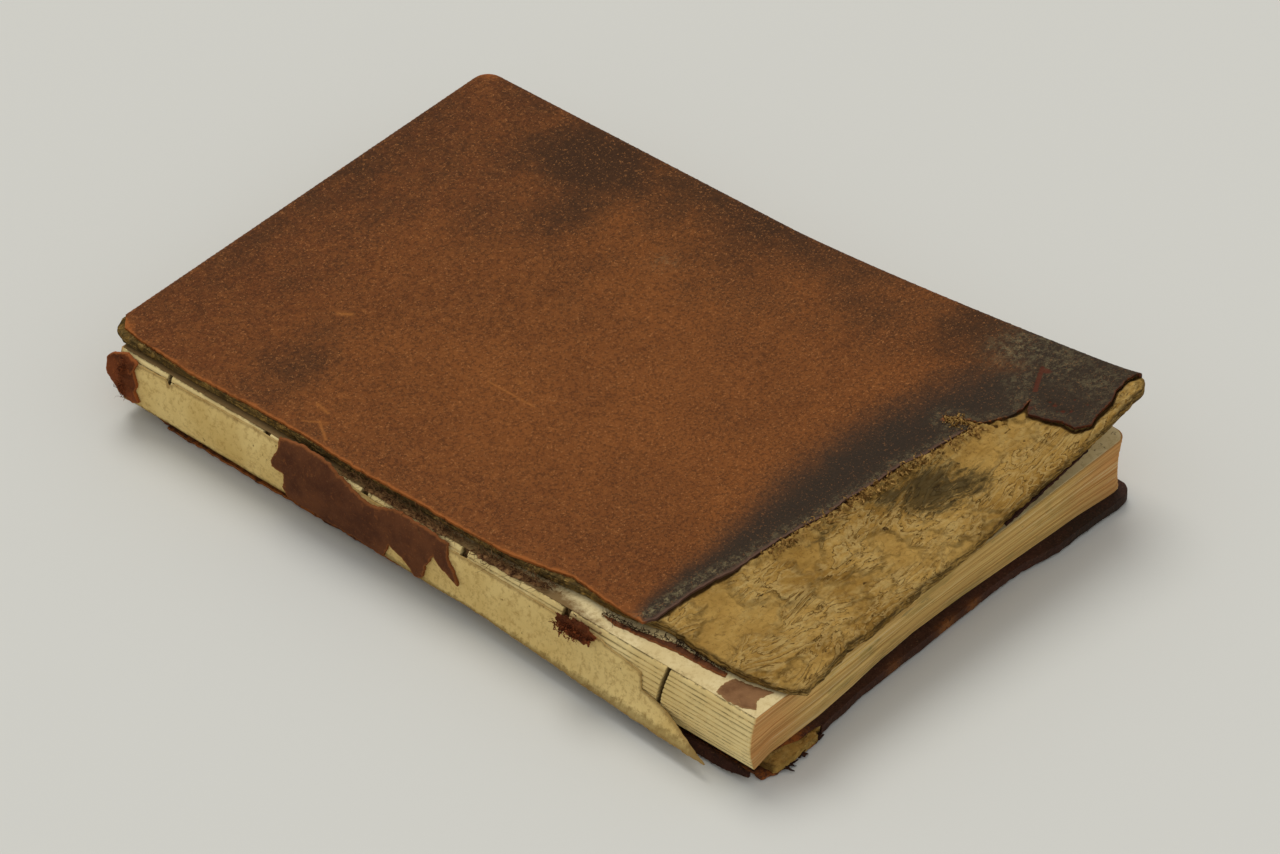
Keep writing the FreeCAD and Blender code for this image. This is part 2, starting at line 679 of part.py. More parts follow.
def cover_block(inset, start, low, high):
    """Block as large as the back cover less an inset, with rounded fore corners."""
    fore = size("back_width") - inset
    block = Part.makeBox(fore - start, cover_height - 2 * inset, high - low, Vector(start, inset, low))
    corners = [edge for edge in block.Edges
               if edge.BoundBox.ZLength > 0.01 and abs(edge.BoundBox.XMin - fore) < 0.01
               and edge.BoundBox.YLength < 0.01]
    return block.makeFillet(size("cover_corner") + leather_thick - inset, corners)


def worn_tail(inset):
    """Area worn off the back cover's tail edge, deeper by an inset."""
    points = [(share * size("back_width"), lost + inset) for share, lost in BACK_TAIL_EDGE]
    return points + [(-PAST, points[-1][1]), (-PAST, -PAST), (points[0][0], -PAST)]


def back_board():
    """Back board: its tail worn, its bare tail corner swollen, its head corner rubbed."""
    joint = "Sizes.joint_width"
    skin = "Sizes.leather_thick"
    board = plate("back_board",
                  "Sizes.back_width - %s - %s" % (joint, skin),
                  "Sizes.cover_height - 2 * %s" % skin,
                  "Sizes.board_thick",
                  "(Sizes.back_left + %s)" % joint, "(Sizes.back_tail + %s)" % skin, skin,
                  "Sizes.cover_corner")
    worn = sketch_on(board, "XY_Plane", "worn_tail")
    draw_loop(worn, [(x - size("joint_width"), y) for x, y in worn_tail(0.0)])
    tail_cut = board.newObject("PartDesign::Pocket", "worn_tail_cut")
    tail_cut.Profile = worn
    tail_cut.Type = "ThroughAll"
    tail_cut.Reversed = True
    swell = sketch_on(board, "XY_Plane", "swollen_corner")
    draw_loop(swell, SWOLLEN_CORNER)
    swollen = board.newObject("PartDesign::Pad", "swollen_corner_pad")
    swollen.Profile = swell
    swollen.setExpression("Length", "Sizes.board_thick")
    rub = sketch_on(board, "XY_Plane", "rubbed_corner")
    head = cover_height - 2 * leather_thick
    draw_loop(rub, [(-1.0, head - RUBBED_CORNER), (RUBBED_CORNER, head + 1.0), (-1.0, head + 1.0)])
    rubbed = board.newObject("PartDesign::Pocket", "rubbed_corner_cut")
    rubbed.Profile = rub
    rubbed.Type = "ThroughAll"
    rubbed.Reversed = True
    doc.recompute()


def back_leather():
    """Leather round the back board, with what is left of the joint."""
    skin = leather_thick
    joint = size("joint_width")
    fore = size("back_width") - turn_in_width
    over_board = skin + board_thick
    above = cover_thick + 1.0
    leather = cover_block(0.0, 0.0, 0.0, cover_thick - pastedown_thick)
    leather = leather.cut(prism_up(worn_tail(0.0), -1.0, above))
    hollow = cover_block(skin, joint, skin, over_board).cut(prism_up(worn_tail(skin), 0.0, above))
    leather = leather.cut(hollow)
    inside = [(skin, turn_in_width), (fore, turn_in_width),
              (fore, cover_height - turn_in_width), (skin, cover_height - turn_in_width)]
    leather = leather.cut(prism_up(inside, over_board - 0.2, above))
    open_joint = [(skin, -PAST), (joint, -PAST), (joint, cover_height + PAST), (skin, cover_height + PAST)]
    leather = leather.cut(prism_up(open_joint, skin, above))
    leather = leather.cut(prism_up(BARE_CORNER, skin, above))
    past_head = cover_height + PAST
    head_corner = [(x, cover_height - y) for x, y in LOST_HEAD_JOINT] + [(-PAST, past_head)]
    leather = leather.cut(prism_up(head_corner, -1.0, above))
    for start, end in ((-PAST, JOINT_LIP[0]), (JOINT_LIP[1], past_head)):
        lip_end = [(-PAST, start), (skin + 0.1, start), (skin + 0.1, end), (-PAST, end)]
        leather = leather.cut(prism_up(lip_end, skin, above))
    place = FreeCAD.Placement(Vector(size("back_left"), size("back_tail"), 0), FreeCAD.Rotation())
    return add_shape("back_cover_leather", leather, place)


def back_pastedown():
    """Endpaper inside the back cover, stepped over the edges of the turn-ins."""
    joint = "Sizes.joint_width"
    margin = "Sizes.pastedown_margin"
    paper = plate("back_pastedown",
                  "Sizes.back_width - %s - 2 * %s" % (joint, margin),
                  "Sizes.cover_height - 2 * %s" % margin,
                  "Sizes.pastedown_thick",
                  "(Sizes.back_left + %s + %s)" % (joint, margin), "(Sizes.back_tail + %s)" % margin,
                  "%s - Sizes.pastedown_thick" % COVER_THICK)
    pasted = sketch_on(paper, "XY_Plane", "pasted_area")
    rectangle(pasted,
              "Sizes.back_width - %s - Sizes.turn_in_width - %s - %g" % (joint, margin, NUDGE),
              "Sizes.cover_height - 2 * Sizes.turn_in_width",
              str(NUDGE), "(Sizes.turn_in_width - %s)" % margin)
    step = paper.newObject("PartDesign::Pad", "pasted_step")
    step.Profile = pasted
    step.Reversed = True
    step.setExpression("Length", "Sizes.turn_in_thick")
    doc.recompute()


def spine_layers():
    """Paper lining and what is left of the spine leather over it."""
    lining_at = glue_gap
    leather_at = lining_at + lining_thick + glue_gap
    outline = LINING_TOP + LINING_FOOT
    return [
        add_shape("spine_lining", spine_sheet(lining_at, lining_thick, outline)),
        add_shape("spine_leather", spine_sheet(leather_at, spine_leather, SPINE_LEATHER)),
        add_shape("head_cap_leather", spine_sheet(leather_at, spine_leather, HEAD_CAP)),
    ]


def leather_tuft():
    """Lump of torn leather still stuck to the edge of the lining."""
    base = [(y * page_height, pages_low + z * pages_thick) for y, z in TUFT]
    middle_y = sum(y for y, _ in base) / len(base)
    middle_z = sum(z for _, z in base) / len(base)
    at = -size("spine_round") - glue_gap * 2 - lining_thick + 0.35
    tip = at - size("tuft_thick")
    outer = [(middle_y + (y - middle_y) * SCRAP_TAPER, middle_z + (z - middle_z) * SCRAP_TAPER)
             for y, z in base]
    wires = [loop([Vector(at, y, z) for y, z in base]), loop([Vector(tip, y, z) for y, z in outer])]
    return add_shape("leather_tuft", Part.makeLoft(wires, True, True))


def joint_pieces():
    """Cloth, fibres, leather strip and scrap left on the front shoulder."""
    thick = size("joint_remains")
    return [
        add_shape("joint_cloth", scrap_on_shoulder(JOINT_CLOTH, thick)),
        add_shape("joint_fibres", scrap_on_shoulder(JOINT_FIBRES, thick * 1.4)),
        add_shape("joint_leather_strip", scrap_on_shoulder(JOINT_STRIP, thick * 1.4)),
        add_shape("shoulder_scrap", scrap_on_shoulder(SHOULDER_SCRAP, thick * 0.5)),
    ]


def flyleaves():
    """Loose endpapers next to the pages."""
    wide = "Sizes.page_width - 2 * Sizes.leaf_inset"
    high = "Sizes.page_height - 2 * Sizes.leaf_inset"
    for label, low in (("back_flyleaf", "%s + Sizes.cover_gap" % COVER_THICK),
                       ("front_flyleaf", "%s + Sizes.pages_thick" % PAGES_LOW)):
        leaf = plate(label, wide, high, "Sizes.leaf_thick", "Sizes.leaf_inset", "Sizes.leaf_inset",
                     low, "Sizes.page_corner")
        if label == "back_flyleaf":
            lean = sketch_on(leaf, "XY_Plane", "leaf_lean")
            lean_outline(lean, pages_low)
            lean_cut = leaf.newObject("PartDesign::Pocket", "leaf_lean_cut")
            lean_cut.Profile = lean
            lean_cut.Type = "ThroughAll"
            lean_cut.Reversed = True
            doc.recompute()


def build():
    """Every sub-part, then the origin under the middle of the whole book."""
    text_block()
    sewing_cords()
    flyleaves()
    board, leather, paper, remains = front_cover_shapes()
    front = [
        add_shape("front_board", board, front_place()),
        add_shape("front_cover_leather", leather, front_place()),
        add_shape("front_pastedown", paper, front_place()),
        add_shape("front_tail_turn_in", remains, front_place()),
    ]
    back_board()
    back_pastedown()
    fixed = front + [back_leather()] + spine_layers() + [leather_tuft()] + joint_pieces()
    fixed.append(doc.getObject("sewing_cords"))
    doc.recompute()

    whole = Part.makeCompound([item.Shape for item in PIECES]).optimalBoundingBox(False, False)
    sheet.set("origin_x", "%.4f" % whole.Center.x)
    sheet.set("origin_y", "%.4f" % whole.Center.y)
    doc.recompute()
    for item in fixed:
        item.Placement.Base = item.Placement.Base - Vector(size("origin_x"), size("origin_y"), 0)
    doc.recompute()


def check_and_write():
    """Refuse a failed or broken sub-part, then write one STEP file each."""
    for item in doc.Objects:
        if "Invalid" in item.State or "Error" in item.State:
            raise RuntimeError("%s failed: %s" % (item.Name, item.State))
    for item in PIECES:
        if item.Shape.isNull() or not item.Shape.isValid() or not item.Shape.Solids:
            raise RuntimeError("%s has no sound shape" % item.Label)
    os.makedirs("parts", exist_ok=True)
    for item in PIECES:
        item.Shape.exportStep(os.path.join("parts", item.Label + ".step"))
        box = item.Shape.optimalBoundingBox(False, False)
        print("%-22s %d solid, %9.1f mm3, z %5.2f to %5.2f" % (
            item.Label, len(item.Shape.Solids), item.Shape.Volume, box.ZMin, box.ZMax))
    print("origin shift", size("origin_x"), size("origin_y"))


build()
check_and_write()
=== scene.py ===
import math
import random

import bpy
import numpy as np
from bpy.props import FloatProperty, FloatVectorProperty, IntProperty, PointerProperty
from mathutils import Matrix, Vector, geometry, kdtree, noise


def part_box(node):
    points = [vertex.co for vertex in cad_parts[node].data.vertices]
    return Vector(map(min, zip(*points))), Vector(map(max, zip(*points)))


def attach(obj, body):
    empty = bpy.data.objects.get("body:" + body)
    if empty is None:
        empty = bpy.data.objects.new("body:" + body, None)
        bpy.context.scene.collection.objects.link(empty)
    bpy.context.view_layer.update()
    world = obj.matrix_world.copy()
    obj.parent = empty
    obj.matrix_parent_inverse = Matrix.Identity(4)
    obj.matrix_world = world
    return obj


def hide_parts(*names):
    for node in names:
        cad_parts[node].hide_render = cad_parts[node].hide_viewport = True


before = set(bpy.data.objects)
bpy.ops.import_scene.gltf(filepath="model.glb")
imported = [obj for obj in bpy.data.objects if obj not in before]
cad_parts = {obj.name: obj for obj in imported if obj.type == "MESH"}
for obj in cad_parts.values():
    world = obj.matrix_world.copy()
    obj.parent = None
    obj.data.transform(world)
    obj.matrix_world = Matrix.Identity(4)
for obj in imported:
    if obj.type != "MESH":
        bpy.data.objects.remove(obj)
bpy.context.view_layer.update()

bl_info = {
    "name": "Worn leather book",
    "version": (1, 0, 0),
    "blender": (4, 5, 0),
    "location": "3D Viewport > Sidebar > Book",
    "description": "Leather, board, pages and lining of a worn book, built round its packed part",
    "category": "Add Mesh",
}

# Everything below is in millimetres in the book's own frame until piece() turns
# it into the part's frame: the origin is the pages' tail corner at the spine, X
# runs to the fore-edge, Y to the head and Z up from the table.
MM_PER_M = 1000.0
TINY = 1e-9           # keeps a division by a length from failing
SHARP_ANGLE = math.radians(50)
ROW_SHARE = 0.87      # between the rows of a staggered grid, as a share of its spacing
EDGE_ROOM = 0.55      # kept free along an outline, as a share of the spacing
EXTRA_ROOM = 0.4      # kept free beside extra mesh points
MERGE = 1e-7          # outline points closer than this are one
FIBRE_TAPER = 0.75    # share of its thickness that a fibre loses by its tip
LOWEST = 0.05         # fibres stay above the table
LEAF_INSET = 0.4
leaf_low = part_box("front_flyleaf")[0]
ORIGIN = np.array([LEAF_INSET - leaf_low.x * MM_PER_M, LEAF_INSET - leaf_low.y * MM_PER_M, 0.0])

PAGE_WIDTH, PAGE_HEIGHT, PAGES_THICK = 167.0, 250.0, 19.4
PAGES_LOW, PAGES_TOP, SHOULDER = 4.1, 23.5, 23.7
SPINE_ROUND, FORE_HOLLOW, PAGE_CORNER = 2.0, 1.2, 4.5
SECTIONS = 12
TAIL_LEAN = 5.0
KETTLES = (32.6, 229.6)
CORDS = (71.0, 110.6, 150.2, 189.8)
SECTION_SHARES = (0.0, 0.05, 0.13, 0.28, 0.5, 0.72, 0.87, 0.95)
# Sawn slots: centre, half width, depth, room cleared in the mesh, mesh steps.
SLOTS = [(k, 0.6, 1.8, 1.3, (0.3, 0.6, 0.85, 1.2)) for k in KETTLES]
SLOTS += [(c, 1.1, 2.0, 2.0, (0.0, 0.6, 1.0, 1.4, 1.9)) for c in CORDS]

COVER_WIDTH, COVER_HEIGHT = 170.0, 262.0
BACK_WIDTH = 167.0
TURN_IN_LEVEL, BOARD_LEVEL, LEATHER_LEVEL, OUTER_LEVEL = 0.2, 0.5, 3.0, 3.8
TURN_IN_WIDTH, LEATHER_THICK, CORNER = 12.0, 0.8, 5.0
TURNED_INSETS = (0.2, 0.5, 1.0, 1.6)   # extra mesh rows along a turned edge
TAIL_FRAY = 0.9
TAIL_REMAINS = (0.59, 0.812)           # share of the cover's width
EDGE_BAND = 0.75                       # a turned edge's own thickness, in the mesh
LOBES_FROM, FLAP_FROM = 123, 137       # the loose lobes of the tear, and the corner flap
FRONT_AT, FRONT_SKEW = (5.4, -4.9, 23.8), math.radians(0.9)
BACK_AT, BACK_JOINT = (1.4, -2.4, 3.8), 4.0
CORNER_LIFT, WARP_LEFT, WARP_REACH = 13.5, 15.0, 137.0
PEEL_DEPTH, PEEL_HEIGHT, PEEL_REACH = 8.0, 7.9, 150.0

# Outlines: share of the cover's width, and millimetres from the tail edge.
TEAR_LINE = (
    (0.009, 52.9), (0.029, 51.0), (0.090, 50.7), (0.134, 50.1), (0.209, 48.0),
    (0.277, 46.9), (0.366, 44.6), (0.408, 42.6), (0.466, 41.8), (0.531, 40.1),
    (0.589, 39.1), (0.636, 36.3), (0.685, 34.5), (0.738, 32.4),
)
TONGUE_SLIT = ((0.724, 41.2), (0.733, 42.6), (0.744, 36.9), (0.755, 31.6))
SECOND_LOBE = ((0.789, 26.7), (0.819, 25.2), (0.845, 25.6))
CORNER_SLIT = (
    (0.873, 27.4), (0.900, 29.8), (0.928, 32.0), (0.929, 31.0), (0.902, 28.4),
    (0.876, 25.8), (0.850, 24.0),
)
CORNER_FLAP = (
    (0.824, 23.9), (0.815, 22.3), (0.819, 17.1), (0.826, 11.1), (0.822, 6.4),
    (0.846, 3.2), (0.870, 4.3), (0.915, 4.6), (0.938, 6.3), (0.972, 6.4),
    (0.996, 4.8),
)
LEATHER_JOINT_EDGE = (
    (0.21, 2.0), (0.25, 2.3), (0.31, 4.0), (0.35, 1.5), (0.383, -0.4),
    (0.458, -0.8), (0.54, -0.4), (0.615, -0.8), (0.70, 0.6), (0.79, 0.3),
    (0.87, -0.2), (0.952, 1.3),
)
BOARD_JOINT_EDGE = (
    (0.015, 8.4), (0.065, 4.7), (0.125, 4.6), (0.18, 6.2), (0.235, 3.0),
    (0.29, 2.6), (0.365, 0.4), (0.40, 0.0), (0.975, 0.0),
)
BOARD_TAIL_EDGE = (
    (0.83, 0.8), (0.78, 1.3), (0.62, 1.8), (0.50, 1.6), (0.44, 2.0),
    (0.375, 2.8), (0.28, 2.6), (0.19, 3.8), (0.12, 2.4), (0.065, 0.6),
)
BACK_TAIL_EDGE = (
    (0.937, 0.0), (0.901, 0.4), (0.851, 0.7), (0.793, 0.7), (0.736, 2.4),
    (0.707, 3.4), (0.678, 3.6), (0.592, 3.5), (0.484, 3.2), (0.384, 3.1),
    (0.278, 3.0), (0.185, 1.8), (0.157, 1.2), (0.128, 0.0), (0.090, 0.5),
    (0.065, 0.3), (0.030, 0.0), (0.018, 0.6), (0.004, 1.8),
)
LEAN_LINE = (
    (-0.10, 0.05), (0.0, 0.12), (0.05, 0.4), (0.18, 0.4), (0.27, 0.6),
    (0.355, 0.86), (0.45, 1.0), (0.57, 0.94), (0.73, 0.68), (0.885, 0.42),
    (0.95, 0.2), (1.10, 0.0),
)
# On the spine: share of the page height from the tail, share of the thickness.
LINING_EDGE = (
    (0.996, 0.87), (0.968, 0.90), (0.922, 0.94), (0.916, 0.86), (0.906, 0.94),
    (0.84, 0.965), (0.76, 0.985), (0.60, 0.95), (0.467, 0.892), (0.36, 0.88),
    (0.228, 0.871), (0.221, 0.835), (0.19, 0.79), (0.165, 0.73), (0.162, 0.438),
    (0.124, 0.314), (0.094, 0.165), (0.066, 0.06), (0.050, 0.012),
    (0.08, 0.004), (0.13, 0.01), (0.227, 0.02), (0.29, 0.04), (0.43, 0.09),
    (0.49, 0.04), (0.56, 0.02), (0.73, 0.05), (0.89, 0.08), (0.978, 0.09),
    (0.996, 0.05),
)
SPINE_LEATHER = (
    (0.736, 1.098), (0.735, 0.907), (0.741, 0.69), (0.739, 0.603), (0.720, 0.567),
    (0.724, 0.30), (0.720, 0.088), (0.66, 0.05), (0.564, 0.067), (0.551, 0.39),
    (0.530, 0.30), (0.512, 0.06), (0.500, 0.12), (0.495, 0.376), (0.481, 0.68),
    (0.470, 0.552), (0.455, 0.47), (0.442, 0.381), (0.449, 0.60), (0.462, 0.79),
    (0.464, 0.979), (0.488, 1.021), (0.545, 1.031), (0.575, 0.93), (0.598, 0.902),
    (0.629, 1.010), (0.668, 1.139), (0.70, 1.16),
)
HEAD_CAP = (
    (0.984, 1.02), (1.006, 0.94), (1.014, 0.80), (1.012, 0.52), (1.000, 0.36),
    (0.990, 0.20), (0.975, 0.16), (0.962, 0.25), (0.968, 0.45), (0.962, 0.62),
    (0.970, 0.80), (0.966, 0.943),
)
TUFT = (
    (0.290, 1.00), (0.276, 1.06), (0.252, 1.08), (0.234, 1.02), (0.231, 0.93),
    (0.243, 0.86), (0.256, 0.72), (0.270, 0.70), (0.283, 0.77),
)
# On the shoulder: millimetres from the spine, share of the page height.
JOINT_CLOTH = (
    (-0.5, 0.600), (0.9, 0.604), (2.1, 0.590), (2.4, 0.566), (2.0, 0.540),
    (2.5, 0.515), (2.3, 0.480), (1.0, 0.470), (-0.4, 0.478), (0.0, 0.520),
    (-0.3, 0.545), (0.0, 0.575),
)
JOINT_FIBRES = (
    (-0.8, 0.420), (0.6, 0.428), (2.0, 0.420), (2.5, 0.395), (2.9, 0.360),
    (3.2, 0.330), (1.8, 0.325), (1.0, 0.350), (-0.4, 0.366), (-0.2, 0.392),
)
JOINT_STRIP = (
    (4.6, 0.248), (5.9, 0.200), (6.9, 0.184), (9.0, 0.150), (9.2, 0.075),
    (7.4, 0.071), (6.8, 0.090), (6.4, 0.140), (5.0, 0.180), (3.4, 0.224),
)
SHOULDER_SCRAP = (
    (1.2, 0.064), (6.0, 0.067), (9.0, 0.062), (9.7, 0.042), (10.9, 0.026),
    (11.8, 0.014), (9.5, 0.017), (6.0, 0.020), (3.0, 0.010), (0.9, 0.024),
    (0.4, 0.044),
)

# Joint leather at the tail, dark also as painted shade for the hollow below the folds: millimetres from the
# pages' tail, and height.
JOINT_FOOT = (
    (0.8, 2.6), (6.0, 1.5), (14.0, 0.6), (48.0, 0.4), (46.0, 2.4), (38.0, 3.7), (20.0, 3.6),
    (9.0, 3.7), (1.2, 3.6),
)

# Soft patches on the front leather: across, along, their two radii, strength.
DUSK_PATCHES = (
    (170, 160, 24, 110, 0.8), (156, 204, 22, 26, 1.25), (147, 222, 22, 16, 0.7),
    (134, 193, 22, 16, 0.8), (152, 172, 22, 14, 0.7), (116, 212, 26, 18, 0.45),
    (24, 206, 18, 14, 0.65), (38, 209, 12, 10, 0.45), (8, 206, 11, 15, 0.55),
    (3, 182, 7, 12, 0.4), (95, 238, 60, 18, 0.45), (95, 262, 95, 24, 0.62),
    (154, 84, 20, 32, 0.55), (140, 145, 26, 45, 0.45), (110, 168, 16, 28, 0.3),
    (162, 58, 24, 24, 0.85), (132, 54, 22, 10, 0.5), (6, 156, 12, 16, 0.25),
)
BLOOM_PATCHES = (
    (162, 43, 9, 9, 0.8), (162, 30, 8, 12, 0.6), (150, 34, 6, 5, 0.5),
    (161, 14, 8, 9, 0.5), (131, 156, 4, 4, 0.4), (143, 30, 5, 3, 0.4),
)
RAW_PATCHES = ((169, 261, 7, 7, 0.9), (4, 58, 4, 7, 0.7), (2, 258, 6, 6, 0.7))
RED_PATCHES = ((157, 30, 1.4, 2.2, 0.9), (141, 23, 3, 1.0, 0.6))
BOARD_STAINS = (
    (97, 26, 13, 12, 1.0), (88, 33, 9, 6, 0.8), (106, 19, 9, 9, 0.85), (100, 12, 12, 5, 0.45),
    (64, 38, 16, 2.5, 0.5), (30, 10, 10, 4, 0.35),
)
# Pits: across, along, radius. Scratches: two ends, half width.
PITS = ((146.0, 18.2, 0.9), (145.0, 14.4, 0.8), (146.2, 12.4, 0.7), (144.2, 15.9, 0.5),
        (146.5, 20.4, 0.6), (151.0, 15.0, 0.5), (151.0, 10.2, 0.5))
SCRATCHES = (((54.0, 158.0), (54.0, 139.0), 0.35), ((49.0, 213.0), (51.0, 210.0), 0.9),
             ((13.5, 189.0), (12.5, 184.0), 0.6), ((3.0, 176.0), (8.0, 183.0), 0.5),
             ((5.0, 187.0), (9.0, 181.0), 0.35), ((60.0, 152.0), (58.0, 146.0), 0.25))

FLOOR_HALF, FLOOR_DROP = 3.0, 0.0003
SUN_ANGLE, SUN_FROM, SUN_COLOUR = math.radians(35), (0.35, 0.55, 1.0), (1.0, 0.97, 0.92)
CAMERA_AZIMUTH, CAMERA_ELEVATION = math.radians(-48.39), math.radians(39.49)
CAMERA_TARGET, CAMERA_DISTANCE, CAMERA_FAR = (77.79, 112.51, 20.0), 2.0196, 20.0


def lift(across, along):
    """Rise of the warped front cover."""
    out = np.clip((across - WARP_LEFT) / (COVER_WIDTH - WARP_LEFT), 0, None)
    down = np.clip((WARP_REACH - along) / WARP_REACH, 0, None)
    return CORNER_LIFT * out ** 1.6 * down ** 1.35


def spine_curve(height):
    """X of the tips of the section folds at a height."""
    middle = PAGES_LOW + PAGES_THICK / 2
    share = np.clip(np.abs(height - middle) / (PAGES_THICK / 2), 0, 1.3)
    return -SPINE_ROUND * (1 - share ** 2)


def peel(along, height):
    """How far the loose lining stands off the spine."""
    rise = np.clip(1 - (height - PAGES_LOW) / PEEL_HEIGHT, 0, None)
    out = np.clip((PEEL_REACH - along) / PEEL_REACH, 0, None)
    return PEEL_DEPTH * out ** 0.8 * rise ** 1.5


def on_front(p):
    """Front cover: across, along, level above its paper face."""
    u, v, level = p.T
    x, y, z = FRONT_AT
    turned_x = u * math.cos(FRONT_SKEW) - v * math.sin(FRONT_SKEW)
    turned_y = u * math.sin(FRONT_SKEW) + v * math.cos(FRONT_SKEW)
    return np.column_stack([x + turned_x, y + turned_y, z + level + lift(u, v)])


def on_back(p):
    """Back cover: across, along, level below its paper face."""
    x, y, z = BACK_AT
    return np.column_stack([x + p[:, 0], y + p[:, 1], z - p[:, 2]])


def on_spine(p):
    """Spine: along, height, distance out from the folds."""
    y, z, out = p.T
    return np.column_stack([spine_curve(z) - peel(y, z) - out, y, z])


def on_shoulder(p):
    """Shoulder of the pages: x, y, height above the flyleaf."""
    return np.column_stack([p[:, 0], p[:, 1], p[:, 2] + SHOULDER])


def noise_at(points, scale, octaves=4, shift=0.0):
    """Smooth noise of about -1 to 1 at 2D or 3D points, features of the given size."""
    grown = np.asarray(points, float) / scale
    if grown.shape[1] == 2:
        grown = np.column_stack([grown, np.zeros(len(grown))])
    grown[:, 2] += shift
    return np.array([noise.fractal(Vector(p), 0.9, 2.0, octaves) for p in grown])


def resample(outline, step):
    """Closed outline with points every step or so."""
    made = []
    for here, there in zip(outline, list(outline[1:]) + [outline[0]]):
        here, there = np.array(here, float), np.array(there, float)
        count = max(1, int(round(np.linalg.norm(there - here) / step)))
        made += [here + (there - here) * i / count for i in range(count)]
    return np.array(made)


def normals_of(outline):
    """Outward direction at each point of a closed outline that runs anticlockwise."""
    along = np.roll(outline, -1, axis=0) - np.roll(outline, 1, axis=0)
    along /= np.linalg.norm(along, axis=1)[:, None] + TINY
    return np.column_stack([along[:, 1], -along[:, 0]])


def anticlockwise(outline):
    """The outline, turned round if it runs clockwise."""
    x, y = np.array(outline, float).T
    area = np.sum(x * np.roll(y, -1) - np.roll(x, -1) * y)
    return list(outline) if area > 0 else list(outline)[::-1]


def ragged(outline, step, amount, shift, calm=None):
    """Torn edge: the outline resampled and pushed in and out by noise."""
    points = resample(anticlockwise(outline), step)
    coarse, fine = noise_at(points, step * 7, 3, shift), noise_at(points, step * 2, 2, shift + 9)
    push = amount * (0.65 * coarse + 0.6 * fine)
    if calm is not None:
        push = push * (1 - calm(points))
    return points + normals_of(points) * push[:, None]


def distance_to(points, line):
    """Distance from each 2D point to the nearest point of a dense line."""
    tree = kdtree.KDTree(len(line))
    for i, p in enumerate(line):
        tree.insert((p[0], p[1], 0.0), i)
    tree.balance()
    return np.array([tree.find((p[0], p[1], 0.0))[2] for p in points])


def dense(points, step=0.4):
    """Open line with points every step."""
    made = []
    for here, there in zip(points, points[1:]):
        here, there = np.array(here, float), np.array(there, float)
        count = max(1, int(np.linalg.norm(there - here) / step))
        made += [here + (there - here) * i / count for i in range(count)]
    return np.array(made + [np.array(points[-1], float)])


def hold(line, strength=1.0):
    """For ragged(): calms the points within a millimetre of a line."""
    near = dense(line, 0.5)
    return lambda points: strength * (distance_to(points, near) < 1.0)


def inside(points, outline):
    """Which points lie inside a closed outline."""
    x, y = points.T
    found = np.zeros(len(points), bool)
    for (ax, ay), (bx, by) in zip(outline, np.roll(outline, -1, axis=0)):
        crosses = (ay > y) != (by > y)
        if crosses.any():
            at = ax + (y - ay) * (bx - ax) / (by - ay if by != ay else TINY)
            found ^= crosses & (x < at)
    return found


def grid_points(low, high, spacing, rng):
    """Jittered staggered grid over a box."""
    made = []
    rows = int((high[1] - low[1]) / (spacing * ROW_SHARE)) + 1
    for j in range(rows):
        y = low[1] + j * spacing * ROW_SHARE
        start = low[0] + (spacing / 2 if j % 2 else 0)
        count = int((high[0] - start) / spacing) + 1
        for i in range(count):
            made.append((start + i * spacing + rng.uniform(-0.2, 0.2) * spacing,
                         y + rng.uniform(-0.2, 0.2) * spacing))
    return np.array(made)


def triangles(outline, spacing, seed=1, finer=(), extra=None):
    """Points and triangles inside an outline. finer holds (low, high, spacing) boxes."""
    rng = random.Random(seed)
    outline = np.asarray(outline, float)
    low, high = outline.min(0), outline.max(0)
    sets = []
    levels = [(low, high, spacing)] + [(np.array(a, float), np.array(b, float), s) for a, b, s in finer]
    for rank, (a, b, gap) in enumerate(levels):
        points = grid_points(a, b, gap, rng)
        for c, d, _ in levels[rank + 1:]:
            points = points[~np.all((points > c) & (points < d), axis=1)]
        points = points[inside(points, outline)]
        if len(points):
            points = points[distance_to(points, outline) > min(gap, spacing) * EDGE_ROOM]
        sets.append(points)
    if extra is not None:
        sets = [s[distance_to(s, extra) > EXTRA_ROOM] if len(s) else s for s in sets]
        sets.append(extra[inside(extra, outline)])
    inner = np.vstack([s for s in sets if len(s)])
    every = [Vector(p) for p in np.vstack([outline, inner])]
    made = geometry.delaunay_2d_cdt(every, [], [list(range(len(outline)))], 1, MERGE)
    points, faces = made[0], made[2]
    used = sorted({i for f in faces for i in f})
    index = {old: new for new, old in enumerate(used)}
    flat = np.array([points[i] for i in used], float)
    return flat, [tuple(index[i] for i in f) for f in faces]


def border(faces):
    """Directed edges that only one triangle uses."""
    count = {}
    for f in faces:
        for a, b in zip(f, f[1:] + f[:1]):
            count[(a, b)] = count.get((a, b), 0) + 1
    return [(a, b) for a, b in count if (b, a) not in count]


